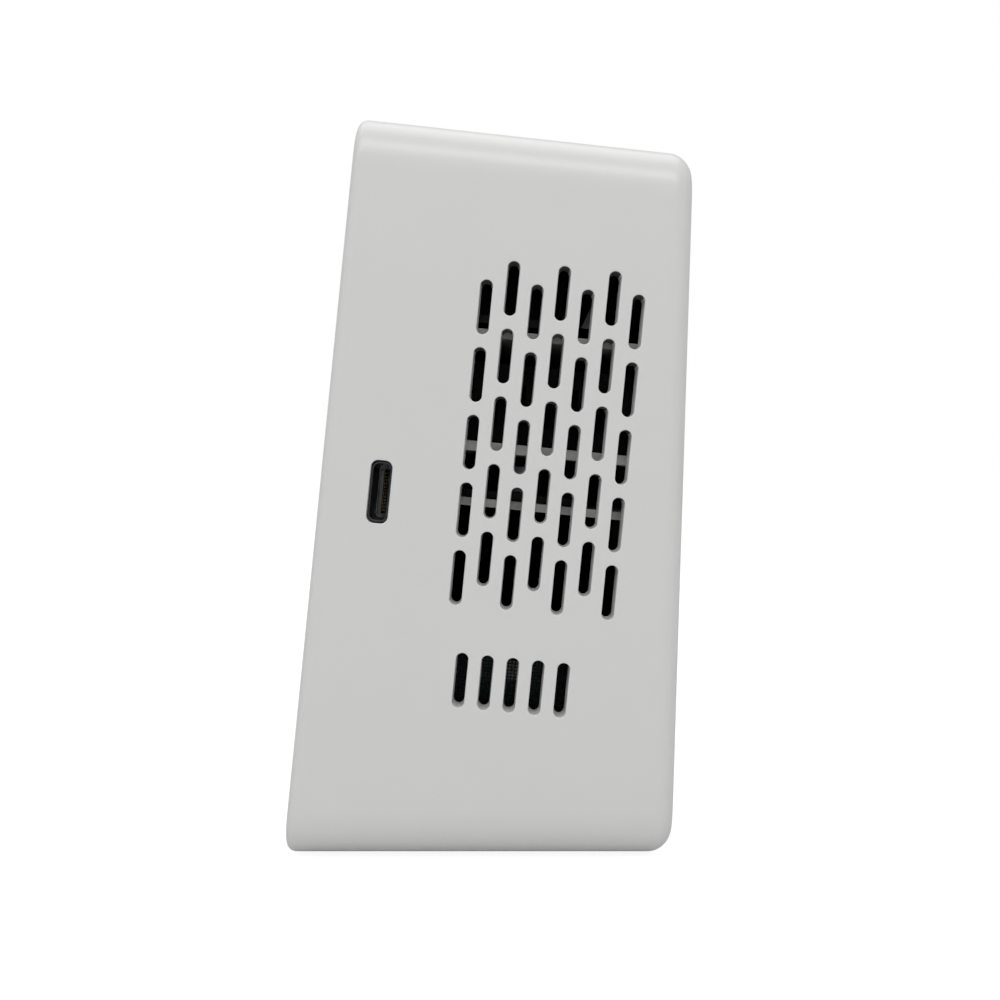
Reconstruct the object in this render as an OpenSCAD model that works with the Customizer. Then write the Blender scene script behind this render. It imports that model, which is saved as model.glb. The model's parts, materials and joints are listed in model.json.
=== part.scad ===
// Desktop air quality monitor: a leaning wedge-shaped housing, closed at the front by a display window,
// with the display, the circuit board and the sensor shelves stacked behind it.
// X is the width, -Y the front, Z up. The base stands on Z = 0.

/* [Housing] */
// Width of the housing
body_w = 110; // [108:1:124]
// Height of the front edge above the table
body_h = 112; // [112:0.5:118]
// Depth of the base
base_d = 58; // [58:0.5:64]
// How far the front face leans back
front_lean = 5.7; // [5.5:0.1:6]
// How far the back face overhangs
back_lean = 1.8; // [1.5:0.1:2]
// Slope of the top, down towards the back
top_slope = 6.25; // [6:0.05:6.5]
// Wall thickness
wall = 3; // [2.8:0.1:3.1]
// Radius of the long edges at the sides of the top and base
side_r = 7.2; // [6:0.1:8]
// Radius of the edges around the back face
back_r = 3.5; // [2:0.1:4]
// Radius of the edges around the front face
front_r = 1.4; // [0.8:0.1:1.6]

/* [Vents] */
// Length of a vent slot
slot_l = 8.06; // [6:0.02:9]
// Width of a vent slot
slot_w = 1.84; // [1.4:0.02:2.2]
// Distance between slot columns
col_pitch = 3.75; // [3.4:0.05:3.9]
// Distance between slot rows
row_pitch = 10; // [9:0.1:10.5]
// How far each second column is raised
col_raise = 3.1; // [2:0.1:4]
// Number of slot columns
vent_cols = 7; // [5:1:7]
// Number of slot rows
vent_rows = 5; // [3:1:5]
// Number of slots in the low group
low_cols = 5; // [3:1:5]

/* [Buttons] */
// Radius of a button cap
button_r = 4; // [3:0.1:4.5]
// Travel of a button
button_travel = 0.5; // [0.3:0.05:0.6]

/* [Hidden] */
$fn = 48;

big = 400;          // longer than anything here
past = 1;           // how far a cut runs past a face
gap = 0.15;         // assembly gap round the front parts

// Side outline. The front line meets the table at front_foot, the back line at back_foot.
foot_proud = 0.3;
raw_span = base_d + (body_h - foot_proud) * tan(back_lean);
front_foot = -raw_span / 2 + foot_proud * tan(front_lean) - 0.1;
back_foot = front_foot + base_d;
half_w = body_w / 2;
in_w = half_w - wall;
pocket_d = 5;       // depth of the square-cut front opening
rebate = 0.4;       // how much wider than the hollow the front opening is, all round
pocket_w = in_w + rebate;
pocket_low = foot_proud + wall - rebate;
pocket_high = body_h / cos(front_lean) - wall + rebate;
pocket_r = side_r - wall + rebate;

// Layers behind the front face, from front to back
window_y = [0.3, 1.9];
tape_y = [1.9, 2.1];
frame_y = [2.1, 4.9];
lcd_y = [2.3, 4.1];
light_y = [4.2, 6];
board_y = [6.2, 7.4];
plate_y = [11.5, 13];
shelf_y = [12.9, 48];

// Display opening and board edges
lcd_x = 43.5;
lcd_z = [27, 100];
board_x = 49;
board_z = [15.5, 107];
board_screw_at = [for (x = [-44, 44], z = [19.5, 103.5]) [x, z]];
post_at = [for (x = [-34, 34], z = [19.5, 103.5]) [x, z]];
post_r = 2.4;
boss_r = 3;
pilot_r = 1.05;
shank_r = 1;
shank_play = 0.15;
head_r = 1.9;
head_h = 1.4;
hole_stop = 0.8;    // floor left under a blind screw hole

// Parts on the back of the board: tall parts stand away from the vents
chip_t = 1.1;
buzzer_at = [-22, 42];
buzzer_r = 6;
buzzer_h = 3.6;

// Plugs on the back of the board: battery, particle sensor, button board
plug_at = [[-12, 30], [14, 78], [-12, 92]];
plug_w = 7;
plug_z = 4;
plug_mouth = 1.2;
plug_wall = 0.7;
plug_y = [board_y[1], board_y[1] + 3.2];
wire_y = (plug_y[0] + plug_y[1]) / 2;
battery_wire_r = 0.5;
signal_wire_r = 0.45;

// Charging socket, in the leaning frame
usb_y = 9;
usb_z = 56.4;
usb_cut = [9.3, 3.2];
usb_shell = [9, 3];
usb_mouth = [8.34, 2.5];
usb_x = [46.6, 54.2];
usb_r = 1.1;
usb_floor = 1.2;
tongue_t = 0.7;
tongue_w = 6.6;

// Vent grid: middle of the first slot of the top row, and of the low group
vent_y = 21.7;
vent_z = 85;
low_y = vent_y + col_pitch / 2;
low_z = vent_z - (vent_rows - 1) * row_pitch - 15;

// Sensor shelves, from the top down, and the battery tray
shelf_a = [81.2, 82.4];
shelf_b = [63.9, 65.4];
shelf_c = [55.6, 56.8];
tray_z = [9.6, 11];
shelf_x = 50.9;
tray_x = 28;
divider_t = 4;
divider_z = [26.5, 91.8];

// Battery on the tray
battery_x = 25;
battery_y = [14, 48];
battery_z = [11.4, 21.4];
battery_cap = 2;    // thickness of the wrapped ends

// Particle sensor
dust_x = [12, 50];
dust_y = [13.3, 48];
dust_z = [65.5, 77.5];
dust_wall = 1;
fan_at = [24, 34, 67.5];
fan_r = 8.5;
fan_h = 5;
fan_hub_r = 3.6;
fan_shaft_r = 0.75;
fan_play = 0.06;
fan_blades = 9;

// Small boards on the shelves
board_t = 1.2;
co2_z = [shelf_a[1] + 1, shelf_a[1] + 2.2];
co2_x = [20, 47];
co2_y = [16.5, 33.5];
co2_h = 6.6;
co2_port_x = [27, 40];
gas_at = [36, 30];
gas_r = 4.6;
formaldehyde_at = [-28, 30];
formaldehyde_r = 10;

// Duct behind the low vents, with the temperature and humidity chip in it
shroud_x = [41, 51.2];
shroud_y = [19.5, 43.5];
shroud_z = [23.4, 36.6];
shroud_wall = 1;
mesh_t = 0.3;

// Buttons, in the back frame: height up the back face and distance either side of the middle
button_z = 95;
button_x = 9;
button_gap = 0.15;
dish_d = 0.8;
dish_r = 6.2;
cap_face = -0.3;    // outer face of a cap, from the back face
cap_dish = 0.4;     // how deep the finger hollow in a cap is
cap_ball = 17.6;    // radius of that hollow
stem_r = 1.5;
flange_r = 5;
flange_t = 0.8;
plunger_r = 1.6;
plunger_top = 6;
switch_y = [-10.4, -6.9];
switch_w = 6;
back_board_y = [-12, -10.4];
back_board_x = 21;
back_board_z = [89, 101];
back_post_x = 18;
back_post_r = 2.3;

// Feet, and the two screws that come up through the floor into the frame's lugs
foot_r = 5;
foot_t = 1.3;
foot_x = 40;
foot_y = [-23, 18];
lug_x = [-24, 24];
lug_y = front_foot + 10;
lug_half = 4;
lug_top = 11;
lug_low = 4.7;
seat_z = 2.9;

// Hooks at the top of the frame, and the housing's catches in front of them
hook_x = [-20, 20];
hook_half = 4;
hook_y = [9.6, 10.8];
catch_half = 5;
catch_y = [8.2, 9.4];

function unit(v) = v / norm(v);

// Centre of the circle of radius r that rounds corner c between its neighbours a and b
function round_centre(a, c, b, r) =
    let (u = unit(a - c), v = unit(b - c), half = acos(u * v) / 2)
    c + unit(u + v) * r / sin(half);

// Where that circle touches the edge from c towards a
function round_touch(a, c, b, r) =
    let (u = unit(a - c), v = unit(b - c), half = acos(u * v) / 2)
    c + u * r / tan(half);

// A convex outline with each corner rounded by its own radius
module rounded_outline(corners, radii) {
    n = len(corners);
    polygon([for (i = [0 : n - 1], side = [-1, 1])
        if (side < 0 || radii[i] > 0)
        let (a = corners[(i + side + n) % n], b = corners[(i - side + n) % n])
        round_touch(a, corners[i], b, radii[i])]);
    for (i = [0 : n - 1])
        if (radii[i] > 0)
            translate(round_centre(corners[(i + n - 1) % n], corners[i], corners[(i + 1) % n], radii[i]))
                circle(r = radii[i]);
}

function box_corners(x, y) = [[x[0], y[0]], [x[1], y[0]], [x[1], y[1]], [x[0], y[1]]];

// A box between two x, two y and two z values
module block(x, y, z)
    translate([x[0], y[0], z[0]])
        cube([x[1] - x[0], y[1] - y[0], z[1] - z[0]]);

// A round bar along Y or Z between two values
module bar_y(r, x, z, y)
    translate([x, y[0], z])
        rotate([-90, 0, 0])
            cylinder(r = r, h = y[1] - y[0]);

module bar_z(r, x, y, z)
    translate([x, y, z[0]])
        cylinder(r = r, h = z[1] - z[0]);

// A flat plate seen from the front, with rounded corners
module front_plate(x, z, r, y)
    translate([0, y[1], 0])
        rotate([90, 0, 0])
            linear_extrude(height = y[1] - y[0])
                rounded_outline(box_corners(x, z), [r, r, r, r]);

// The frame of the front face: Y runs inwards, square to it, and Z up along it
module leaning()
    translate([0, front_foot, 0])
        rotate([-front_lean, 0, 0])
            children();

// The frame of the back face: Y runs outwards, square to it, and Z up along it
module at_back()
    translate([0, back_foot, 0])
        rotate([-back_lean, 0, 0])
            children();

// The housing's form, or its hollow when set in by a distance
module side_form(inset, front_in) {
    low = foot_proud + inset;
    tan_f = tan(front_lean);
    tan_b = tan(back_lean);
    tan_t = tan(top_slope);
    y_front = front_foot + front_in / cos(front_lean);
    y_back = back_foot - inset / cos(back_lean);
    y_top = front_foot + body_h * tan_f;
    z_top = body_h - inset / cos(top_slope);
    z_front = (z_top + (y_top - y_front) * tan_t) / (1 + tan_f * tan_t);
    z_back = (z_top + (y_top - y_back) * tan_t) / (1 + tan_b * tan_t);
    corners = [[y_front + low * tan_f, low], [y_back + low * tan_b, low],
               [y_back + z_back * tan_b, z_back], [y_front + z_front * tan_f, z_front]];
    // the hollow's corners are square
    r_back = inset > 0 ? 0 : back_r;
    r_front = inset > 0 ? 0 : front_r;
    rotate([90, 0, 90])
        linear_extrude(height = body_w - 2 * inset, center = true)
            rounded_outline(corners, [r_front, r_back, r_back, r_front]);
}

// A long bar along Y whose top (or bottom) side edges are rounded
module edge_bar(inset, up) {
    w = half_w - inset;
    r = side_r - inset;
    rotate([90, 0, 0])
        linear_extrude(height = big, center = true)
            mirror([0, up ? 1 : 0])
                rounded_outline(box_corners([-w, w], [0, big]), [r, r, 0, 0]);
}

module wedge(inset, front_in) {
    intersection() {
        side_form(inset, front_in);
        translate([0, 0, foot_proud + inset])
            edge_bar(inset, false);
        translate([0, front_foot + body_h * tan(front_lean), body_h - inset / cos(top_slope)])
            rotate([-top_slope, 0, 0])
                edge_bar(inset, true);
    }
}

// Trims the upright edges of the housing to their radii
module upright_edges() {
    leaning()
        translate([0, 0, -big / 2])
            linear_extrude(height = big)
                rounded_outline(box_corners([-half_w, half_w], [0, big]), [front_r, front_r, 0, 0]);
}

module upright_back_edges() {
    at_back()
        translate([0, 0, -big / 2])
            linear_extrude(height = big)
                rounded_outline(box_corners([-half_w, half_w], [-big, 0]), [0, 0, back_r, back_r]);
}

// One vent slot, cut through a side wall along X
module slot(side, y, z)
    translate([side * (half_w - wall / 2), y, z])
        rotate([90, 0, 90])
            linear_extrude(height = wall + 2 * past, center = true) {
                square([slot_w, slot_l - slot_w], center = true);
                for (end = [-1, 1])
                    translate([0, end * (slot_l - slot_w) / 2])
                        circle(r = slot_w / 2);
            }

module vents(side) {
    for (i = [0 : vent_cols - 1], j = [0 : vent_rows - 1])
        slot(side, vent_y + i * col_pitch, vent_z - j * row_pitch + (i % 2) * col_raise);
    for (i = [0 : low_cols - 1])
        slot(side, low_y + i * col_pitch, low_z);
}

module usb_prism(size, r, x)
    translate([x[0], usb_y, usb_z])
        rotate([90, 0, 90])
            linear_extrude(height = x[1] - x[0])
                rounded_outline(box_corners([-size[1] / 2, size[1] / 2], [-size[0] / 2, size[0] / 2]),
                                [r, r, r, r]);

// A machine screw: head towards +Z, thread down
module screw(l) {
    bar_z(shank_r, 0, 0, [-l, 0]);
    difference() {
        bar_z(head_r, 0, 0, [0, head_h]);
        translate([0, 0, head_h / 2])
            for (a = [0, 90])
                rotate(a)
                    block([-1.1, 1.1], [-0.2, 0.2], [0, head_h]);
    }
}

// An insulated lead through the points of its route, which lies mostly across the width
module lead(route, r, sides = 8) {
    n = len(route);
    rings = [for (i = [0 : n - 1])
        let (d = unit(route[min(i + 1, n - 1)] - route[max(i - 1, 0)]),
             across = unit([1, 0, 0] - d * d[0]),
             up = cross(d, across))
        for (k = [0 : sides - 1])
            route[i] + r * (across * cos(k * 360 / sides) + up * sin(k * 360 / sides))];
    wall_faces = [for (i = [0 : n - 2], k = [0 : sides - 1])
        let (next = (k + 1) % sides)
        [i * sides + k, (i + 1) * sides + k, (i + 1) * sides + next, i * sides + next]];
    start_cap = [for (k = [0 : sides - 1]) k];
    end_cap = [for (k = [sides - 1 : -1 : 0]) (n - 1) * sides + k];
    polyhedron(rings, concat([start_cap, end_cap], wall_faces));
}

module rear_housing()
    color("white")
    difference() {
        union() {
            difference() {
                intersection() {
                    wedge(0, 0);
                    upright_edges();
                    upright_back_edges();
                }
                wedge(wall, pocket_d - 0.1);
            }
            // bosses over the two screws in the floor
            for (x = lug_x)
                bar_z(lug_half, x, lug_y, [foot_proud + wall - 0.5, lug_low - 0.1]);
            // posts for the button board
            at_back()
                for (x = [-back_post_x, back_post_x])
                    bar_y(back_post_r, x, button_z, [back_board_y[1], -wall + 0.5]);
            // catches for the frame's hooks, under the top
            leaning()
                for (x = hook_x)
                    block([x - catch_half, x + catch_half], catch_y, [pocket_high - 1.9, pocket_high + 1]);
        }
        leaning() {
            front_plate([-pocket_w, pocket_w], [pocket_low, pocket_high], pocket_r, [-past, pocket_d]);
            for (side = [-1, 1])
                vents(side);
            usb_prism(usb_cut, usb_r, [in_w - past, half_w + past]);
        }
        at_back() {
            for (x = [-button_x, button_x]) {
                bar_y(button_r + button_gap, x, button_z, [-wall - past, past]);
                bar_y(dish_r, x, button_z, [-dish_d, past]);
            }
            block([-button_x, button_x], [-dish_d, past], [button_z - dish_r, button_z + dish_r]);
            for (x = [-back_post_x, back_post_x])
                bar_y(pilot_r, x, button_z, [back_board_y[1] - past, -wall - 1]);
        }
        for (x = [-foot_x, foot_x], y = foot_y)
            bar_z(foot_r + 0.1, x, y, [-past, foot_t]);
        for (x = lug_x) {
            bar_z(head_r + 0.3, x, lug_y, [-past, seat_z]);
            bar_z(shank_r + 0.2, x, lug_y, [seat_z - 0.1, lug_low + past]);
        }
    }

module front_frame()
    color("#2b2c2e")
    difference() {
        union() {
            leaning() {
                difference() {
                    front_plate([-pocket_w + gap, pocket_w - gap], [pocket_low + gap, pocket_high - gap],
                                pocket_r - gap, frame_y);
                    block([-lcd_x - gap, lcd_x + gap], [0, pocket_d + past],
                          [lcd_z[0] - gap, lcd_z[1] + gap]);
                    block([-13, 13], [0, pocket_d + past], [21, lcd_z[0]]);
                }
                for (p = board_screw_at)
                    bar_y(boss_r, p[0], p[1], [frame_y[1] - 0.5, board_y[0]]);
                for (p = post_at)
                    bar_y(post_r, p[0], p[1], [frame_y[1] - 0.5, plate_y[0]]);
                // hooks that catch under the housing's top
                for (x = hook_x) {
                    block([x - hook_half, x + hook_half], [frame_y[1] - 0.5, hook_y[1]],
                          [pocket_high - 3.3, pocket_high - 2.2]);
                    block([x - hook_half, x + hook_half], hook_y, [pocket_high - 2.3, pocket_high - 1]);
                }
            }
            // lugs over the two floor screws, tied to the plate by a web
            for (x = lug_x)
                intersection() {
                    block([x - lug_half, x + lug_half], [front_foot + 5, lug_y + 2.2], [lug_low, lug_top]);
                    leaning()
                        block([x - lug_half - 1, x + lug_half + 1], [frame_y[1] - 0.5, 20], [0, 20]);
                }
        }
        leaning() {
            for (p = board_screw_at)
                bar_y(pilot_r, p[0], p[1], [frame_y[0] + hole_stop, board_y[0] + past]);
            for (p = post_at)
                bar_y(pilot_r, p[0], p[1], [frame_y[0] + hole_stop, plate_y[0] + past]);
        }
        for (x = lug_x)
            bar_z(pilot_r, x, lug_y, [lug_low - past, lug_top - 1]);
    }

module display_window()
    color("#101214")
        leaning()
            front_plate([-pocket_w + gap, pocket_w - gap], [pocket_low + gap, pocket_high - gap],
                        pocket_r - gap, window_y);

module window_tape()
    color("#1a1a1a")
        leaning()
            difference() {
                front_plate([-pocket_w + 1, pocket_w - 1], [pocket_low + 1, pocket_high - 1],
                            pocket_r - 1, tape_y);
                block([-lcd_x - 1, lcd_x + 1], [0, pocket_d], [20, lcd_z[1] + 1]);
            }

module lcd_panel()
    color("#3c4a44")
        leaning() {
            block([-lcd_x, lcd_x], [lcd_y[0], lcd_y[0] + 0.9], lcd_z);
            // the back glass is longer, for the ribbon's contacts
            block([-lcd_x, lcd_x], [lcd_y[0] + 0.9, lcd_y[1]], [lcd_z[0] + 2.5, lcd_z[1]]);
        }

module backlight_panel()
    color("#f2f2ec")
        leaning()
            difference() {
                block([-lcd_x, lcd_x], light_y, [lcd_z[0] + 2.5, lcd_z[1]]);
                for (x = [-30 : 15 : 30])
                    block([x - 2, x + 2], [light_y[1] - 0.8, light_y[1] + past],
                          [lcd_z[0] + 2, lcd_z[0] + 5]);
            }

module lcd_ribbon() {
    t = 0.2;
    color("#c47a24")
        leaning()
            rotate([90, 0, 90])
                linear_extrude(height = 24, center = true) {
                    translate([lcd_y[0] + 1, lcd_z[0] - 2])
                        square([t, 4.2]);
                    translate([lcd_y[0] + 1, lcd_z[0] - 2])
                        square([board_y[0] - lcd_y[0] - 1, t]);
                    translate([board_y[0] - t, lcd_z[0] - 5])
                        square([t, 3 + t]);
                }
}

module main_board()
    color("#1f5a3a")
        leaning()
            difference() {
                front_plate([-board_x, board_x], board_z, 2, board_y);
                for (p = board_screw_at)
                    bar_y(shank_r + shank_play, p[0], p[1], [0, 20]);
                for (p = post_at)
                    bar_y(post_r + 0.3, p[0], p[1], [0, 20]);
                for (x = hook_x)
                    block([x - hook_half - 1, x + hook_half + 1], [0, 20], [pocket_high - 4, pocket_high]);
            }

module usb_socket()
    color("#26282b")
        leaning()
            difference() {
                usb_prism(usb_shell, usb_r - 0.1, usb_x);
                usb_prism(usb_mouth, usb_r - 0.2, [usb_x[0] + usb_floor, usb_x[1] + past]);
            }

module usb_tongue()
    color("#17181a")
        leaning()
            block([usb_x[0] + usb_floor, usb_x[1] - 1], [usb_y - tongue_t / 2, usb_y + tongue_t / 2],
                  [usb_z - tongue_w / 2, usb_z + tongue_w / 2]);

module controller_chip()
    color("#1c1d20")
        leaning()
            block([-8, 2], [board_y[1], board_y[1] + chip_t], [60, 70]);

module radio_module()
    color("#b9bcc0")
        leaning() {
            block([-44, -26], [board_y[1], board_y[1] + 0.8], [70, 95]);
            block([-43, -27], [board_y[1] + 0.8, board_y[1] + 3], [71, 88]);
        }

module power_parts()
    color("#3a3b3e")
        leaning() {
            block([31, 37], [board_y[1], board_y[1] + 3], [66, 72]);
            block([39, 43], [board_y[1], board_y[1] + 1], [67, 71]);
            for (z = [44 : 4 : 48])
                block([30, 33.2], [board_y[1], board_y[1] + 1.4], [z, z + 1.6]);
            for (x = [38, 43])
                bar_y(2, x, 46, [board_y[1], board_y[1] + 3.6]);
        }

module buzzer()
    color("#202124")
        leaning()
            difference() {
                bar_y(buzzer_r, buzzer_at[0], buzzer_at[1], [board_y[1], board_y[1] + buzzer_h]);
                bar_y(1, buzzer_at[0], buzzer_at[1], [board_y[1] + 2, board_y[1] + buzzer_h + past]);
            }

module board_plugs()
    color("#efe9dc")
        leaning()
            for (p = plug_at)
                difference() {
                    block([p[0], p[0] + plug_w], plug_y, [p[1], p[1] + plug_z]);
                    block([p[0] + plug_wall, p[0] + plug_w - plug_wall],
                          [plug_y[0] + plug_wall, plug_y[1] - plug_wall],
                          [p[1] - past, p[1] + plug_mouth]);
                }

module battery()
    color("#9aa3ad")
        leaning() {
            difference() {
                rotate([90, 0, 90])
                    linear_extrude(height = 2 * (battery_x - battery_cap), center = true)
                        rounded_outline(box_corners(battery_y, battery_z), [1.5, 1.5, 1.5, 1.5]);
                block([-battery_x, battery_x], [battery_y[0] - past, battery_y[0] + 0.4], battery_z);
            }
            for (x = [-battery_x, battery_x - battery_cap])
                block([x, x + battery_cap], [battery_y[0] + 1.5, battery_y[1] - 1.5],
                      [battery_z[0] + 1, battery_z[1] - 1]);
        }

module battery_pad()
    color("#4a4a4a")
        leaning()
            block([-battery_x + 3, battery_x - 3], [battery_y[0] + 3, battery_y[1] - 3],
                  [tray_z[1], battery_z[0]]);

module battery_lead()
    color("#b3261e")
        leaning()
            for (i = [0 : 1])
                let (x = plug_at[0][0] + 2.5 + 2 * i)
                lead([[x, wire_y, plug_at[0][1] + plug_mouth], [x, wire_y, 25], [x, 16.5, 24.2 + i * 0.01],
                      [x, 17, battery_z[1] + 0.12]], battery_wire_r);

module sensor_carrier()
    color("#e9eae8")
        leaning()
            difference() {
                union() {
                    difference() {
                        block([-shelf_x + 1, shelf_x - 1], plate_y, [tray_z[0], 107.5]);
                        block([-22, 22], [0, 20], [86, 100]);
                        block([-28, 39.5], [0, 20], [24, 53]);
                        block([13, 22], [0, 20], [67, 78]);
                    }
                    for (s = [shelf_a, shelf_b, shelf_c])
                        block([-shelf_x, shelf_x], shelf_y, s);
                    block([-tray_x, tray_x], shelf_y, tray_z);
                    // gussets under the shelves
                    for (x = [-49, -6, 6, 49])
                        block([x - 0.6, x + 0.6], [shelf_y[0], shelf_y[0] + 3],
                              [shelf_c[0] - 3, shelf_c[0] + 0.1]);
                }
                for (p = post_at)
                    bar_y(shank_r + shank_play, p[0], p[1], [0, 20]);
                // slots that let air pass up between the bays
                for (x = [-46, 46])
                    block([x - 1.5, x + 1.5], [15, 19], [shelf_c[0] - past, shelf_c[1] + past]);
            }

module divider_foam() {
    bays = [[divider_z[0], shelf_c[0]], [shelf_c[1], shelf_b[0]], [shelf_b[1], shelf_a[0]],
            [shelf_a[1], divider_z[1]]];
    color("#161617")
        leaning()
            for (bay = bays)
                block([-divider_t / 2, divider_t / 2], [shelf_y[0] + 0.3, shelf_y[1] - 0.5], bay);
}

module particle_case()
    color("#2c2e31")
        leaning()
            difference() {
                block(dust_x, dust_y, [dust_z[0], dust_z[1] - 1.2]);
                block([dust_x[0] + dust_wall, dust_x[1] - dust_wall],
                      [dust_y[0] + dust_wall, dust_y[1] - dust_wall], [dust_z[0] + dust_wall, dust_z[1]]);
                // air inlets, facing the vents
                for (i = [0 : 5])
                    block([dust_x[1] - 2, dust_x[1] + past], [19 + i * 4, 21 + i * 4],
                          [dust_z[0] + 3, dust_z[1] - 3]);
                // lead opening
                block([14, 21], [dust_y[0] - past, dust_y[0] + 2], [dust_z[0] + 4, dust_z[0] + 7.5]);
            }

module particle_lid()
    color("#36383b")
        leaning()
            difference() {
                block(dust_x, dust_y, [dust_z[1] - 1.2, dust_z[1]]);
                // outlet grille over the fan
                for (a = [0 : 60 : 300])
                    translate([fan_at[0], fan_at[1], dust_z[1] - 2])
                        rotate(a)
                            translate([5.2, 0, 0])
                                cylinder(r = 1.5, h = 3);
            }

module particle_board()
    color("#225c9a")
        leaning()
            difference() {
                block([35, 48.7], [15, 46.5], [dust_z[0] + dust_wall, dust_z[0] + dust_wall + 0.8]);
                bar_z(fan_r + 1, fan_at[0], fan_at[1], [dust_z[0], dust_z[1]]);
            }

module laser_module()
    color("#b08a45")
        leaning()
            difference() {
                translate([36.5, 20, dust_z[0] + 4.8])
                    rotate([0, 90, 0])
                        cylinder(r = 2.9, h = 8);
                translate([43.5, 20, dust_z[0] + 4.8])
                    rotate([0, 90, 0])
                        cylinder(r = 1.6, h = 2);
            }

module fan_motor()
    color("#5d6064")
        leaning()
            translate(fan_at) {
                bar_z(5.5, 0, 0, [-1, 0.2]);
                bar_z(fan_shaft_r, 0, 0, [0, fan_h + 1.5]);
            }

module fan_rotor()
    color("#3f4246")
        leaning()
            translate([fan_at[0], fan_at[1], fan_at[2] + 0.5])
                difference() {
                    union() {
                        bar_z(fan_hub_r, 0, 0, [0, fan_h]);
                        bar_z(fan_r, 0, 0, [0, 0.6]);
                        for (i = [0 : fan_blades - 1])
                            rotate(i * 360 / fan_blades)
                                translate([fan_hub_r - 0.4, 0, 0])
                                    rotate(20)
                                        block([0, 4.9], [-0.25, 0.25], [0.3, fan_h]);
                    }
                    bar_z(fan_shaft_r + fan_play, 0, 0, [-past, fan_h + past]);
                }

module particle_lead()
    color("#dcdcd6")
        leaning()
            for (i = [0 : 2])
                let (x = plug_at[1][0] + 2 + 1.4 * i)
                lead([[x, wire_y, plug_at[1][1] + plug_mouth], [x, wire_y, 75.5], [x, 10, 74], [x, 12, 72.6],
                      [x, 15.5, 71.5]], signal_wire_r);

module co2_board()
    color("#1e5fa0")
        leaning() {
            block([17, 50], [15, 35], co2_z);
            for (x = [19, 48], y = [17, 33])
                bar_z(1, x, y, [shelf_a[1], co2_z[0]]);
        }

module co2_chamber()
    color("#c9a24a")
        leaning()
            difference() {
                block(co2_x, co2_y, [co2_z[1], co2_z[1] + co2_h]);
                for (x = co2_port_x)
                    bar_z(4, x, 25, [co2_z[1] + co2_h - 0.6, co2_z[1] + co2_h + past]);
            }

module co2_membrane()
    color("#f4f4f0")
        leaning()
            for (x = co2_port_x)
                bar_z(3.9, x, 25, [co2_z[1] + co2_h - 0.6, co2_z[1] + co2_h - 0.2]);

module gas_board()
    color("#5a2a6a")
        leaning()
            block([26, 48], [18, 40], [shelf_c[1], shelf_c[1] + board_t]);

module gas_sensor()
    color("#c8cbce")
        leaning()
            difference() {
                bar_z(gas_r, gas_at[0], gas_at[1], [shelf_c[1] + board_t, shelf_c[1] + 5.6]);
                bar_z(gas_r - 2, gas_at[0], gas_at[1], [shelf_c[1] + 5.1, shelf_c[1] + 7]);
            }

module formaldehyde_board()
    color("#1f5a3a")
        leaning()
            block([-42, -14], [16, 44], [shelf_b[1], shelf_b[1] + board_t]);

module formaldehyde_sensor()
    color("#e8e8e4")
        leaning()
            difference() {
                bar_z(formaldehyde_r, formaldehyde_at[0], formaldehyde_at[1],
                      [shelf_b[1] + board_t, shelf_b[1] + 11]);
                bar_z(formaldehyde_r / 2, formaldehyde_at[0], formaldehyde_at[1],
                      [shelf_b[1] + 10.2, shelf_b[1] + 12]);
            }

module climate_shroud()
    color("#1b1c1d")
        leaning() {
            difference() {
                block(shroud_x, shroud_y, shroud_z);
                block([shroud_x[0] + shroud_wall, shroud_x[1] + past],
                      [shroud_y[0] + shroud_wall, shroud_y[1] - shroud_wall],
                      [shroud_z[0] + shroud_wall, shroud_z[1] - shroud_wall]);
            }
            block([shroud_x[0], shroud_x[0] + 2], [plate_y[1], shroud_y[0] + 0.5], [27, 33]);
        }

module climate_board()
    color("#1f5a3a")
        leaning()
            block([shroud_x[0] + shroud_wall, shroud_x[0] + shroud_wall + 1], [25, 38], [25.5, 34.5]);

module climate_chip()
    color("#d9d9d4")
        leaning()
            block([shroud_x[0] + shroud_wall + 1, shroud_x[0] + shroud_wall + 2], [30, 33], [28.5, 31.5]);

// Fine dust mesh behind the low slots of one side
module dust_mesh(side)
    leaning()
        translate([side * (in_w - 0.45), 0, 0])
            block([-mesh_t / 2, mesh_t / 2], [shroud_y[0] + 0.5, shroud_y[1] - 0.5],
                  [shroud_z[0] + 0.5, shroud_z[1] - 0.5]);

module mesh_right()
    color("#222324")
        dust_mesh(1);

module mesh_left()
    color("#222324")
        dust_mesh(-1);

module button_board()
    color("#1f5a3a")
        at_back()
            difference() {
                block([-back_board_x, back_board_x], back_board_y, back_board_z);
                for (x = [-back_post_x, back_post_x])
                    bar_y(shank_r + shank_play, x, button_z, [-20, 0]);
            }

module switch_body(x)
    at_back()
        difference() {
            block([x - switch_w / 2, x + switch_w / 2], switch_y,
                  [button_z - switch_w / 2, button_z + switch_w / 2]);
            bar_y(plunger_r + 0.1, x, button_z, [switch_y[0] + 1.4, switch_y[1] + past]);
        }

module power_switch()
    color("#303236")
        switch_body(-button_x);

module mode_switch()
    color("#303236")
        switch_body(button_x);

module plunger(x)
    at_back()
        bar_y(plunger_r, x, button_z, [switch_y[0] + 1.4 + button_travel + 0.1, -plunger_top]);

module power_plunger()
    color("#8f2f2a")
        plunger(-button_x);

module mode_plunger()
    color("#8f2f2a")
        plunger(button_x);

// Cap, captive flange and the stem that presses the switch
module button(x)
    at_back() {
        difference() {
            bar_y(button_r, x, button_z, [-wall - 0.5, cap_face]);
            translate([x, cap_face - cap_dish + cap_ball, button_z])
                sphere(r = cap_ball, $fn = 96);
        }
        bar_y(flange_r, x, button_z, [-wall - 0.05 - flange_t, -wall - 0.05]);
        bar_y(stem_r, x, button_z, [-plunger_top, -wall - 0.3]);
    }

module power_button()
    color("#dfe0df")
        button(-button_x);

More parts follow.
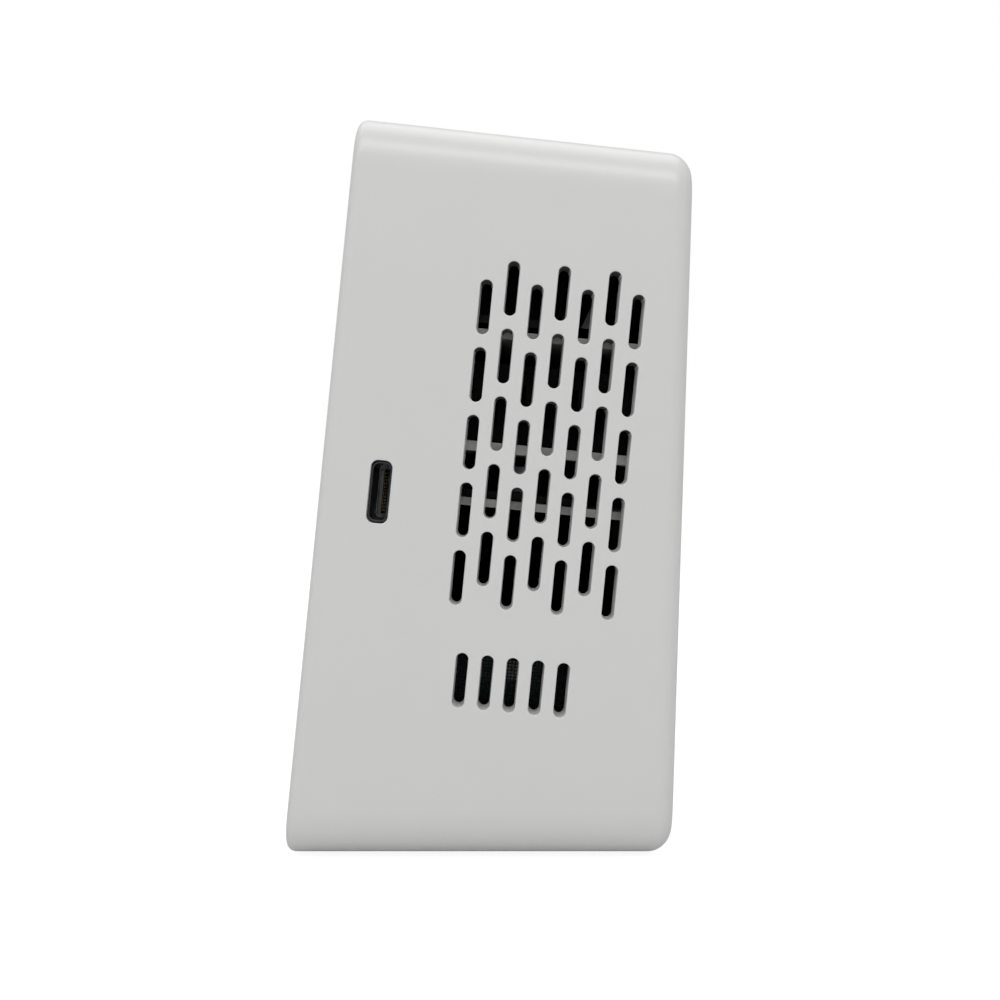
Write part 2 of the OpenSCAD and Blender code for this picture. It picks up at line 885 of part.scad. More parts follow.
module mode_button()
    color("#dfe0df")
        button(button_x);

module button_lead()
    color("#dcdcd6")
        leaning()
            for (i = [0 : 2])
                let (x = plug_at[2][0] + 2 + 1.4 * i)
                lead([[x, wire_y, plug_at[2][1] + plug_mouth], [x, wire_y, 90], [x, 18, 88.5], [x, 34, 94.5],
                      [x, 37.2, 96]], signal_wire_r);

module feet()
    color("#8d8f91")
        for (x = [-foot_x, foot_x], y = foot_y)
            bar_z(foot_r, x, y, [0, foot_t]);

module housing_screws()
    color("#a9acb0")
        for (x = lug_x)
            translate([x, lug_y, seat_z])
                mirror([0, 0, 1])
                    screw(6.5);

// Screws whose heads face the back of the stack
module back_facing(points, y, l)
    leaning()
        for (p = points)
            translate([p[0], y, p[1]])
                rotate([-90, 0, 0])
                    screw(l);

module board_screws()
    color("#a9acb0")
        back_facing(board_screw_at, board_y[1], 4);

module carrier_screws()
    color("#a9acb0")
        back_facing(post_at, plate_y[1], 7);

module button_screws()
    color("#a9acb0")
        at_back()
            for (x = [-back_post_x, back_post_x])
                translate([x, back_board_y[0], button_z])
                    rotate([90, 0, 0])
                        screw(6);

rear_housing();
front_frame();
display_window();
window_tape();
lcd_panel();
backlight_panel();
lcd_ribbon();
main_board();
usb_socket();
usb_tongue();
controller_chip();
radio_module();
power_parts();
buzzer();
board_plugs();
battery();
battery_pad();
battery_lead();
sensor_carrier();
divider_foam();
particle_case();
particle_lid();
particle_board();
laser_module();
fan_motor();
fan_rotor();
particle_lead();
co2_board();
co2_chamber();
co2_membrane();
gas_board();
gas_sensor();
formaldehyde_board();
formaldehyde_sensor();
climate_shroud();
climate_board();
climate_chip();
mesh_right();
mesh_left();
button_board();
power_switch();
mode_switch();
power_plunger();
mode_plunger();
power_button();
mode_button();
button_lead();
feet();
housing_screws();
board_screws();
carrier_screws();
button_screws();
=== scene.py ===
import json
import math

import bmesh
import bpy
from mathutils import Matrix, Vector

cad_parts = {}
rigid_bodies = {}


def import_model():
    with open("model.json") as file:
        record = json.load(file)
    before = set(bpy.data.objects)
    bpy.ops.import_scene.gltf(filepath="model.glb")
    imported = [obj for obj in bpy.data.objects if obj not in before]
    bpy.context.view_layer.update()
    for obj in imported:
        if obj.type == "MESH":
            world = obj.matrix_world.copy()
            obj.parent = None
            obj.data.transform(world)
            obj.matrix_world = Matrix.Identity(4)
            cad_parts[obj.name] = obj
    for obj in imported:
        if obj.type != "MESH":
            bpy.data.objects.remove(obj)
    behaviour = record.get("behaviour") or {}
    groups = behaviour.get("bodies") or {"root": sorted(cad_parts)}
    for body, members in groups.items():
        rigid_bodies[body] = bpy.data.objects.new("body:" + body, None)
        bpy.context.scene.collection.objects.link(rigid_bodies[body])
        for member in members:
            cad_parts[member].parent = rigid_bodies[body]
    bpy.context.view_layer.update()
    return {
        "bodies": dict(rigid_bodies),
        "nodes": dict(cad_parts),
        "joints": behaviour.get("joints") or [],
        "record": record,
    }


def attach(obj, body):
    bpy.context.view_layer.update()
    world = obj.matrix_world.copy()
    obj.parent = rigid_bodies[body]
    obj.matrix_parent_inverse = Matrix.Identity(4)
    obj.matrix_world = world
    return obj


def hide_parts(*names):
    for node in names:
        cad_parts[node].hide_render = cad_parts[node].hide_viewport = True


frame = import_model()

mm = 0.001
scene = bpy.context.scene

# The housing's own sizes; everything else hangs on them
housing = {
    "width": 110 * mm,
    "height": 112 * mm,
    "baseDepth": 58 * mm,
    "frontLean": math.radians(5.7),
    "backLean": math.radians(1.8),
    "topSlope": math.radians(6.25),
    "wall": 3 * mm,
    "sideRadius": 7.2 * mm,
    "cornerReach": 9 * mm,         # the outer rounding eases in from further out than a plain arc
    "cornerProfile": 0.63,
    "backRadius": 3.5 * mm,
    "frontRadius": 1.4 * mm,
    "footProud": 0.3 * mm,
    "rebate": 0.4 * mm,
    "rebateDepth": 5 * mm,
    "fitGap": 0.15 * mm,
}
halfWidth = housing["width"] / 2
innerHalf = halfWidth - housing["wall"]
tanFront = math.tan(housing["frontLean"])
tanBack = math.tan(housing["backLean"])
tanTop = math.tan(housing["topSlope"])
rawSpan = housing["baseDepth"] + (housing["height"] - housing["footProud"]) * tanBack
frontFoot = -rawSpan / 2 + housing["footProud"] * tanFront - 0.1 * mm
backFoot = frontFoot + housing["baseDepth"]

# The front opening, as seen square on
openingHalf = innerHalf + housing["rebate"]
openingLow = housing["footProud"] + housing["wall"] - housing["rebate"]
openingHigh = housing["height"] / math.cos(housing["frontLean"]) - housing["wall"] + housing["rebate"]
openingRadius = housing["sideRadius"] - housing["wall"] + housing["rebate"]

# Two leaning frames: in the front one Y runs in, square to the front face, and Z up along it;
# in the back one Y runs out, square to the back face
atFront = Matrix.Translation((0, frontFoot, 0)) @ Matrix.Rotation(-housing["frontLean"], 4, "X")
atBack = Matrix.Translation((0, backFoot, 0)) @ Matrix.Rotation(-housing["backLean"], 4, "X")

# Turns a cutter that points along +X so that it points backwards, or down
pointBack = Matrix(((0, 0, 1, 0), (1, 0, 0, 0), (0, 1, 0, 0), (0, 0, 0, 1)))
pointDown = Matrix(((0, 0, 1, 0), (0, 1, 0, 0), (-1, 0, 0, 0), (0, 0, 0, 1)))


def deselectAll():
    if bpy.context.object and bpy.context.object.mode != "OBJECT":
        bpy.ops.object.mode_set(mode="OBJECT")
    bpy.ops.object.select_all(action="DESELECT")


def pick(*pieces):
    deselectAll()
    for piece in pieces:
        piece.select_set(True)
    bpy.context.view_layer.objects.active = pieces[0]


def putInPlace(piece, place=None):
    pick(piece)
    bpy.ops.object.transform_apply(location=True, rotation=True, scale=True)
    if place is not None:
        piece.data.transform(place)
    return piece


def addBlock(name, low, high):
    deselectAll()
    low, high = Vector(low), Vector(high)
    bpy.ops.mesh.primitive_cube_add(size=1, location=(low + high) / 2, scale=high - low)
    piece = bpy.context.object
    piece.name = name
    return putInPlace(piece)


def addBar(name, radius, low, high, axis="Z", points=48):
    deselectAll()
    low, high = Vector(low), Vector(high)
    turn = {"X": (0, math.pi / 2, 0), "Y": (math.pi / 2, 0, 0), "Z": (0, 0, 0)}[axis]
    bpy.ops.mesh.primitive_cylinder_add(
        vertices=points, radius=radius, depth=(high - low).length,
        location=(low + high) / 2, rotation=turn)
    piece = bpy.context.object
    piece.name = name
    return putInPlace(piece)


def choose(piece, kind, test):
    # goes into edit mode with just the vertices, edges or faces that pass the test selected
    pick(piece)
    bpy.ops.object.mode_set(mode="EDIT")
    bpy.ops.mesh.select_mode(type=kind)
    bpy.ops.mesh.select_all(action="DESELECT")
    work = bmesh.from_edit_mesh(piece.data)
    for part in {"VERT": work.verts, "EDGE": work.edges, "FACE": work.faces}[kind]:
        part.select = bool(test(part))
    work.select_flush_mode()
    bmesh.update_edit_mesh(piece.data)


def doneEditing():
    bpy.ops.object.mode_set(mode="OBJECT")


def runsAlong(axis):
    def test(edge):
        along = (edge.verts[1].co - edge.verts[0].co).normalized()
        return abs(along[axis]) > 0.9
    return test


def bevelEdges(piece, test, radius, segments, profile=0.5):
    choose(piece, "EDGE", test)
    bpy.ops.mesh.bevel(offset=radius, segments=segments, profile=profile, affect="EDGES")
    doneEditing()


def bevelRim(piece, normal, radius, segments):
    # rounds the edges all round the face that looks along the normal
    normal = Vector(normal).normalized()

    def onRim(edge):
        facing = [face.normal.dot(normal) > 0.999 for face in edge.link_faces]
        return len(facing) == 2 and facing[0] != facing[1]

    bevelEdges(piece, onRim, radius, segments)


def applyModifier(piece, kind, **settings):
    pick(piece)
    modifier = piece.modifiers.new(kind.lower(), kind)
    for key, value in settings.items():
        setattr(modifier, key, value)
    bpy.ops.object.modifier_apply(modifier=modifier.name)


def combine(piece, tool, operation="DIFFERENCE"):
    applyModifier(piece, "BOOLEAN", operation=operation, object=tool, solver="EXACT")
    bpy.data.objects.remove(tool)


def joined(name, pieces):
    pick(*pieces)
    if len(pieces) > 1:
        bpy.ops.object.join()
    pieces[0].name = name
    return pieces[0]


def copyOf(piece, place):
    twin = bpy.data.objects.new(piece.name, piece.data.copy())
    scene.collection.objects.link(twin)
    twin.data.transform(place)
    return twin


def spread(name, pattern, places):
    # one modelled pattern set down at each place, as one piece
    piece = joined(name, [copyOf(pattern, place) for place in places])
    bpy.data.objects.remove(pattern)
    return piece


def cleanFaces(piece, angle=35, weighted=True):
    # merges doubles, turns the faces outward and shades every edge flatter than the angle smooth
    pick(piece)
    bpy.ops.object.mode_set(mode="EDIT")
    bpy.ops.mesh.select_all(action="SELECT")
    bpy.ops.mesh.remove_doubles(threshold=1e-6)
    bpy.ops.mesh.normals_make_consistent(inside=False)
    bpy.ops.object.mode_set(mode="OBJECT")
    bpy.ops.object.shade_smooth_by_angle(angle=math.radians(angle))
    if weighted:
        applyModifier(piece, "WEIGHTED_NORMAL", keep_sharp=True, weight=80)
    return piece


def turned(name, rings, points=64):
    # a disc drawn out ring by ring along Z, each ring a radius and a height
    deselectAll()
    radius, height = rings[0]
    bpy.ops.mesh.primitive_circle_add(
        vertices=points, radius=radius, fill_type="NGON", location=(0, 0, height))
    piece = bpy.context.object
    piece.name = name
    putInPlace(piece)
    bpy.ops.object.mode_set(mode="EDIT")
    bpy.ops.mesh.select_mode(type="FACE")
    bpy.ops.mesh.select_all(action="SELECT")
    for nextRadius, nextHeight in rings[1:]:
        bpy.ops.mesh.extrude_region_move(TRANSFORM_OT_translate={"value": (0, 0, nextHeight - height)})
        grow = nextRadius / radius
        bpy.ops.transform.resize(value=(grow, grow, 1), center_override=(0, 0, 0))
        radius, height = nextRadius, nextHeight
    doneEditing()
    return piece


def dress(piece, material):
    piece.data.materials.clear()
    piece.data.materials.append(material)


def fit(piece, material, body="housing", instead=()):
    # gives a finished piece its material, hides the record's pieces it stands in for, and sets the body it
    # moves with
    dress(piece, material)
    if instead:
        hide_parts(*instead)
    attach(piece, body)
    return piece


def linearColour(code):
    def channel(value):
        value /= 255
        return value / 12.92 if value <= 0.04045 else ((value + 0.055) / 1.055) ** 2.4
    return tuple(channel(int(code[i:i + 2], 16)) for i in (1, 3, 5)) + (1.0,)


def addNode(tree, kind, settings=(), links=()):
    node = tree.nodes.new(kind)
    for key, value in dict(settings).items():
        if isinstance(key, int) or key in node.inputs:
            node.inputs[key].default_value = value
        else:
            setattr(node, key, value)
    for key, source in dict(links).items():
        tree.links.new(source, node.inputs[key])
    return node


def newMaterial(name, code, settings):
    material = bpy.data.materials.new(name)
    material.use_nodes = True
    tree = material.node_tree
    shader = tree.nodes["Principled BSDF"]
    shader.inputs["Base Color"].default_value = linearColour(code)
    for socket, value in settings.items():
        shader.inputs[socket].default_value = value
    place = addNode(tree, "ShaderNodeTexCoord").outputs["Object"]
    return material, tree, shader, place


def mouldedPlastic(name, code, roughness, ior, grain, depth, gloss=0.5):
    # moulded from an eroded tool: the fine grain breaks the sheen up, and the colour is nearly even
    flowWidth = 18 * mm
    material, tree, shader, place = newMaterial(name, code, {"IOR": ior, "Specular IOR Level": gloss})
    pits = addNode(tree, "ShaderNodeTexNoise", {"Scale": 1 / grain, "Detail": 3.0}, {"Vector": place})
    flow = addNode(tree, "ShaderNodeTexNoise", {"Scale": 1 / flowWidth, "Detail": 2.0}, {"Vector": place})
    base = linearColour(code)
    tint = addNode(tree, "ShaderNodeValToRGB", links={"Fac": flow.outputs["Fac"]})
    tint.color_ramp.elements[0].color = tuple(part * 0.97 for part in base[:3]) + (1,)
    tint.color_ramp.elements[1].color = base
    tree.links.new(tint.outputs["Color"], shader.inputs["Base Color"])
    sheen = addNode(tree, "ShaderNodeMapRange", {"To Min": roughness - 0.05, "To Max": roughness + 0.05},
                    {"Value": pits.outputs["Fac"]})
    tree.links.new(sheen.outputs["Result"], shader.inputs["Roughness"])
    bump = addNode(tree, "ShaderNodeBump", {"Strength": 0.5, "Distance": depth},
                   {"Height": pits.outputs["Fac"]})
    tree.links.new(bump.outputs["Normal"], shader.inputs["Normal"])
    return material


def glassLaminate(name, code, gloss=0.5):
    # glass and epoxy under solder resist: square-cornered copper runs, 3.2 mm across each turn, show
    # through as lighter, raised lines
    turnWidth = 3.2 * mm
    material, tree, shader, place = newMaterial(
        name, code, {"IOR": 1.55, "Roughness": 0.32, "Specular IOR Level": gloss})
    runs = addNode(tree, "ShaderNodeTexVoronoi",
                   {"Scale": 1 / turnWidth, "feature": "F1", "distance": "CHEBYCHEV"}, {"Vector": place})
    wave = addNode(tree, "ShaderNodeMath", {"operation": "PINGPONG", 1: 0.09},
                   {0: runs.outputs["Distance"]})
    line = addNode(tree, "ShaderNodeMapRange", {"From Min": 0.03, "From Max": 0.045},
                   {"Value": wave.outputs[0]})
    base = linearColour(code)
    tint = addNode(tree, "ShaderNodeValToRGB", links={"Fac": line.outputs["Result"]})
    tint.color_ramp.elements[0].color = tuple(part * 0.62 for part in base[:3]) + (1,)
    tint.color_ramp.elements[1].color = base
    tree.links.new(tint.outputs["Color"], shader.inputs["Base Color"])
    bump = addNode(tree, "ShaderNodeBump", {"Strength": 0.6, "Distance": 0.035 * mm},
                   {"Height": line.outputs["Result"]})
    tree.links.new(bump.outputs["Normal"], shader.inputs["Normal"])
    return material


def drawnMetal(name, code, roughness, grain):
    # plated and drawn metal: fine scratches and handling marks vary the shine
    material, tree, shader, place = newMaterial(name, code, {"Metallic": 1.0})
    marks = addNode(tree, "ShaderNodeTexNoise", {"Scale": 1 / grain, "Detail": 5.0, "Roughness": 0.7},
                    {"Vector": place})
    sheen = addNode(tree, "ShaderNodeMapRange", {"To Min": roughness - 0.08, "To Max": roughness + 0.12},
                    {"Value": marks.outputs["Fac"]})
    tree.links.new(sheen.outputs["Result"], shader.inputs["Roughness"])
    bump = addNode(tree, "ShaderNodeBump", {"Strength": 0.25, "Distance": 0.01 * mm},
                   {"Height": marks.outputs["Fac"]})
    tree.links.new(bump.outputs["Normal"], shader.inputs["Normal"])
    return material


def softRubber(name, code, roughness, grain, gloss=0.5):
    # rubbery skin: dull, with a faint dusty cast and a fine tooth
    material, tree, shader, place = newMaterial(name, code, {"IOR": 1.43, "Specular IOR Level": gloss})
    tooth = addNode(tree, "ShaderNodeTexNoise", {"Scale": 1 / grain, "Detail": 4.0}, {"Vector": place})
    base = linearColour(code)
    tint = addNode(tree, "ShaderNodeValToRGB", links={"Fac": tooth.outputs["Fac"]})
    tint.color_ramp.elements[0].color = tuple(part * 0.85 for part in base[:3]) + (1,)
    tint.color_ramp.elements[1].color = tuple(min(1, part * 1.12) for part in base[:3]) + (1,)
    tree.links.new(tint.outputs["Color"], shader.inputs["Base Color"])
    sheen = addNode(tree, "ShaderNodeMapRange", {"To Min": roughness - 0.08, "To Max": roughness + 0.08},
                    {"Value": tooth.outputs["Fac"]})
    tree.links.new(sheen.outputs["Result"], shader.inputs["Roughness"])
    bump = addNode(tree, "ShaderNodeBump", {"Strength": 0.4, "Distance": 0.02 * mm},
                   {"Height": tooth.outputs["Fac"]})
    tree.links.new(bump.outputs["Normal"], shader.inputs["Normal"])
    return material


def openCellFoam():
    # open-cell foam: cells about half a millimetre wide, black and light-swallowing, with painted shade
    # darkening each cell's sunken middle
    material, tree, shader, place = newMaterial(
        "openCellFoam", "#141415", {"IOR": 1.45, "Roughness": 0.95, "Specular IOR Level": 0.1})
    cellWidth = 0.5 * mm
    cells = addNode(tree, "ShaderNodeTexVoronoi", {"Scale": 1 / cellWidth, "feature": "DISTANCE_TO_EDGE"},
                    {"Vector": place})
    # painted shade: each cell's middle, which the bump sinks, is darker than the cell walls
    tint = addNode(tree, "ShaderNodeValToRGB", links={"Fac": cells.outputs["Distance"]})
    tint.color_ramp.elements[0].color = linearColour("#2a2a2c")
    tint.color_ramp.elements[1].color = linearColour("#060606")
    tint.color_ramp.elements[1].position = 0.35
    tree.links.new(tint.outputs["Color"], shader.inputs["Base Color"])
    bump = addNode(tree, "ShaderNodeBump", {"Strength": 1.0, "Distance": 0.2 * mm, "invert": True},
                   {"Height": cells.outputs["Distance"]})
    tree.links.new(bump.outputs["Normal"], shader.inputs["Normal"])
    return material


def pouchFoil():
    # aluminium laminate round a battery pouch: satin silver with soft creases about 4 mm apart
    creaseGap = 4 * mm
    material, tree, shader, place = newMaterial(
        "pouchFoil", "#b4b8bd", {"Metallic": 0.85, "Roughness": 0.34})
    creases = addNode(tree, "ShaderNodeTexNoise",
                      {"Scale": 1 / creaseGap, "Detail": 6.0, "Roughness": 0.55, "Distortion": 1.2},
                      {"Vector": place})
    bump = addNode(tree, "ShaderNodeBump", {"Strength": 0.7, "Distance": 0.25 * mm},
                   {"Height": creases.outputs["Fac"]})
    tree.links.new(bump.outputs["Normal"], shader.inputs["Normal"])
    return material


def smokedAcrylic():
    # dark tinted acrylic: glossy, the lit display shows through and the black border behind doesn't
    material, tree, shader, place = newMaterial(
        "smokedAcrylic", "#5c5f63", {"IOR": 1.49, "Transmission Weight": 1.0})
    smearWidth = 9 * mm
    polish = addNode(tree, "ShaderNodeTexNoise", {"Scale": 1 / smearWidth, "Detail": 3.0}, {"Vector": place})
    sheen = addNode(tree, "ShaderNodeMapRange", {"To Min": 0.015, "To Max": 0.045},
                    {"Value": polish.outputs["Fac"]})
    tree.links.new(sheen.outputs["Result"], shader.inputs["Roughness"])
    return material


def displayGlass():
    # display glass with its polariser: nearly black, faintly blue, with faint electrode lines
    waveLength = 6 * mm
    material, tree, shader, place = newMaterial(
        "displayGlass", "#0a0d12", {"IOR": 1.52, "Roughness": 0.12})
    lines = addNode(tree, "ShaderNodeTexWave", {"Scale": 1 / waveLength, "bands_direction": "X"},
                    {"Vector": place})
    tint = addNode(tree, "ShaderNodeValToRGB", links={"Fac": lines.outputs["Fac"]})
    tint.color_ramp.elements[0].color = linearColour("#090c10")
    tint.color_ramp.elements[1].color = linearColour("#0d1117")
    tree.links.new(tint.outputs["Color"], shader.inputs["Base Color"])
    return material


def diffuserSheet():
    # milky light guide: light leaks softly through it, with printed dots 0.8 mm apart
    material, tree, shader, place = newMaterial(
        "diffuserSheet", "#eef0ee", {"IOR": 1.49, "Roughness": 0.45, "Subsurface Weight": 0.3,
                                     "Subsurface Scale": 1 * mm})
    dotGap = 0.8 * mm
    dots = addNode(tree, "ShaderNodeTexVoronoi", {"Scale": 1 / dotGap, "Randomness": 0.0}, {"Vector": place})
    tint = addNode(tree, "ShaderNodeValToRGB", links={"Fac": dots.outputs["Distance"]})
    tint.color_ramp.elements[0].color = linearColour("#ffffff")
    tint.color_ramp.elements[1].color = linearColour("#e2e4e2")
    tree.links.new(tint.outputs["Color"], shader.inputs["Base Color"])
    return material


def amberFilm():
    # polyimide ribbon: amber film over fine copper lines
    waveLength = 5 * mm
    material, tree, shader, place = newMaterial("amberFilm", "#b8701c", {"IOR": 1.7, "Roughness": 0.25})
    lines = addNode(tree, "ShaderNodeTexWave", {"Scale": 1 / waveLength, "bands_direction": "X"},
                    {"Vector": place})
    tint = addNode(tree, "ShaderNodeValToRGB", links={"Fac": lines.outputs["Fac"]})
    tint.color_ramp.elements[0].color = linearColour("#8f4f12")
    tint.color_ramp.elements[1].color = linearColour("#cf8a2a")
    tree.links.new(tint.outputs["Color"], shader.inputs["Base Color"])
    return material


def litSegment(name, code, strength):
    # a lit segment of the display: even light, slightly granular from the diffuser behind it
    grainWidth = 0.4 * mm
    material, tree, shader, place = newMaterial(
        name, "#000000", {"Roughness": 0.4, "Emission Strength": strength})
    grain = addNode(tree, "ShaderNodeTexNoise", {"Scale": 1 / grainWidth, "Detail": 1.0}, {"Vector": place})
    glow = addNode(tree, "ShaderNodeValToRGB", links={"Fac": grain.outputs["Fac"]})
    base = linearColour(code)
    glow.color_ramp.elements[0].color = tuple(part * 0.88 for part in base[:3]) + (1,)
    glow.color_ramp.elements[1].color = base
    tree.links.new(glow.outputs["Color"], shader.inputs["Emission Color"])
    return material


# Every finish by the real material's name, save the black inside faces and the grey painted shade in the
# slots; plastics give their roughness, index, grain and its depth
finishes = {
    "white_abs": mouldedPlastic("mouldedWhiteAbs", "#e4e4e3", 0.3, 1.53, 0.45 * mm, 0.008 * mm),
    "cap": mouldedPlastic("mouldedCapAbs", "#d9dad9", 0.36, 1.53, 0.35 * mm, 0.008 * mm),
    "shelf": mouldedPlastic("mouldedShelfAbs", "#cfcfcc", 0.5, 1.53, 0.5 * mm, 0.01 * mm),
    "inside_black": softRubber("blackInsideFaces", "#0b0b0c", 0.85, 0.3 * mm, 0.1),
    # grey painted shade for the slots' upper walls, which look down into shade
    "painted_slot_shade": softRubber("greyPaintedSlotShade", "#555657", 0.6, 0.2 * mm, 0.2),
    "insulator": mouldedPlastic("paleSocketResin", "#e4e5e6", 0.5, 1.55, 0.2 * mm, 0.005 * mm),
    "black_abs": mouldedPlastic("mouldedBlackAbs", "#1d1e20", 0.5, 1.53, 0.4 * mm, 0.012 * mm),
    "dark_shell": mouldedPlastic("mattSensorCase", "#0b0b0c", 0.7, 1.53, 0.4 * mm, 0.01 * mm, 0.12),
    "tongue": mouldedPlastic("greyTongueResin", "#222325", 0.5, 1.55, 0.2 * mm, 0.005 * mm),
    "chip_resin": mouldedPlastic("epoxyChipResin", "#17181a", 0.55, 1.55, 0.15 * mm, 0.01 * mm),
    "plug_nylon": mouldedPlastic("plugNylon", "#e6dfcf", 0.42, 1.53, 0.3 * mm, 0.006 * mm),
    "white_resin": mouldedPlastic("whiteSensorResin", "#dfdfda", 0.45, 1.5, 0.3 * mm, 0.006 * mm),
    "red_resin": mouldedPlastic("plungerResin", "#8d2b25", 0.4, 1.5, 0.3 * mm, 0.006 * mm),
    "ptfe": mouldedPlastic("ptfeFilm", "#efefec", 0.7, 1.38, 0.12 * mm, 0.02 * mm),
    "green_laminate": glassLaminate("greenLaminate", "#1f5c3b"),
    "blue_laminate": glassLaminate("blueLaminate", "#1d4f8e"),
    "black_laminate": glassLaminate("blackLaminate", "#0e0f10", 0.15),
    "zinc_steel": drawnMetal("zincPlatedSteel", "#b9bcc1", 0.32, 0.2 * mm),
    "can_steel": drawnMetal("tinnedCanSteel", "#a9adb2", 0.36, 0.3 * mm),
    "dark_steel": drawnMetal("blackenedSteel", "#111214", 0.45, 0.25 * mm),
    "socket_steel": drawnMetal("blackNickelShell", "#4a4b4f", 0.4, 0.15 * mm),
    "brass": drawnMetal("turnedBrass", "#b58a3e", 0.3, 0.2 * mm),
    "gold_plate": drawnMetal("goldPlate", "#e0b352", 0.24, 0.15 * mm),
    "mesh_weave": drawnMetal("darkWireCloth", "#303236", 0.5, 0.1 * mm),
    "silicone": softRubber("siliconeRubber", "#6f7173", 0.72, 0.25 * mm),
    "ink": softRubber("greyPrintedInk", "#6a6b6d", 0.5, 0.2 * mm),
    "tape": softRubber("blackFoamTape", "#161617", 0.85, 0.2 * mm),
    "red_pvc": softRubber("redWireSleeve", "#a8221c", 0.42, 0.3 * mm),
    "white_pvc": softRubber("whiteWireSleeve", "#d8d8d2", 0.42, 0.3 * mm),
    "foam": openCellFoam(),
    "pouch_foil": pouchFoil(),
    "smoked_acrylic": smokedAcrylic(),
    "lcd_glass": displayGlass(),
    "diffuser": diffuserSheet(),
    "polyimide": amberFilm(),
}
print("finishes ready:", len(finishes))

camera = {
    "fromSide": 140 * mm,        # distance from the near side wall
    "depth": 3.65 * mm,
    "height": 57.7 * mm,
    "focal": 34.3,
    "sensor": 36,
    "shift": (-0.0147, -0.025),
}


def makeCamera():
    lens = bpy.data.cameras.new("camera")
    lens.lens = camera["focal"]
    lens.sensor_width = camera["sensor"]
    lens.shift_x, lens.shift_y = camera["shift"]
    lens.clip_start = 5 * mm
    eye = bpy.data.objects.new("camera", lens)
    scene.collection.objects.link(eye)
    eye.location = (halfWidth + camera["fromSide"], camera["depth"], camera["height"])
    eye.rotation_euler = (math.pi / 2, 0, math.pi / 2)
    scene.camera = eye


makeCamera()


def wedgeBlock(name, inset, frontIn, radius, segments, profile=0.5):
    # the housing's leaning block, drawn in all round by the inset and at the front by frontIn
    low = housing["footProud"] + inset
    yFront = frontFoot + frontIn / math.cos(housing["frontLean"])
    yBack = backFoot - inset / math.cos(housing["backLean"])
    yTop = frontFoot + housing["height"] * tanFront
    zTop = housing["height"] - inset / math.cos(housing["topSlope"])
    zFront = (zTop + (yTop - yFront) * tanTop) / (1 + tanFront * tanTop)
    zBack = (zTop + (yTop - yBack) * tanTop) / (1 + tanBack * tanTop)
    half = halfWidth - inset
    block = addBlock(name, (-half, yFront + low * tanFront, low), (half, yBack + low * tanBack, zFront))
    middle = (yFront + yBack) / 2
    choose(block, "VERT", lambda vert: vert.co.z > low + mm and vert.co.y < middle)
    bpy.ops.transform.translate(value=(0, (zFront - low) * tanFront, 0))
    doneEditing()
    choose(block, "VERT", lambda vert: vert.co.z > low + mm and vert.co.y > middle)
    bpy.ops.transform.translate(value=(0, (zBack - low) * tanBack, zBack - zFront))
    doneEditing()
    bevelEdges(block, runsAlong(1), radius, segments, profile)
    return block


def flareMouth(cutter, halfY, halfZ, rim, start):
    # draws the cutter's outer end out in three widening steps, so the hole it cuts has a rounded rim
    grown, place = 0.0, start
    for angle in (math.radians(30), math.radians(60), math.radians(90)):
        nextGrown = rim * (1 - math.cos(angle))
        nextPlace = start + rim * math.sin(angle)
        choose(cutter, "FACE", lambda face: face.normal.x > 0.99)
        bpy.ops.mesh.extrude_region_move(TRANSFORM_OT_translate={"value": (nextPlace - place, 0, 0)})
        bpy.ops.transform.resize(
            value=(1, (halfY + nextGrown) / (halfY + grown), (halfZ + nextGrown) / (halfZ + grown)),
            center_override=(0, 0, 0))
        doneEditing()
        grown, place = nextGrown, nextPlace
    choose(cutter, "FACE", lambda face: face.normal.x > 0.99)
    bpy.ops.mesh.extrude_region_move(TRANSFORM_OT_translate={"value": (mm, 0, 0)})
    doneEditing()


def pillCutter(name, width, length, deep, rim, points=24, corner=0.0, draft=0.0):
    # a round bar pulled out into a pill along Z, pointing out along +X, its mouth at X = 0,
    # and its far end drawn in by the draft
    cutter = addBar(name, width / 2, (-deep, 0, 0), (-rim, 0, 0), "X", points)
    cutter.data.transform(Matrix.Rotation(math.pi / points, 4, "X"))
    if length > width:
        for side in (-1, 1):
            choose(cutter, "VERT", lambda vert: vert.co.z * side > 0)
            bpy.ops.transform.translate(value=(0, 0, side * (length - width) / 2))
            doneEditing()
    if draft:
        tall = max(width, length)
        choose(cutter, "VERT", lambda vert: vert.co.x < -deep / 2)
        bpy.ops.transform.resize(
            value=(1, 1 - 2 * draft / width, 1 - 2 * draft / tall), center_override=(0, 0, 0))
        doneEditing()
    if corner:
        bevelRim(cutter, (-1, 0, 0), corner, 4)
    flareMouth(cutter, width / 2, max(width, length) / 2, rim, -rim)
    return cutter


def frontPlate(name, half, low, high, near, far, radius, ease):
    # a plate across the front frame with rounded corners and eased edges
    plate = addBlock(name, (-half, near, low), (half, far, high))
    bevelEdges(plate, runsAlong(1), radius, 10)
    bevelRim(plate, (0, -1, 0), ease, 3)
    bevelRim(plate, (0, 1, 0), ease, 3)
    plate.data.transform(atFront)
    return plate


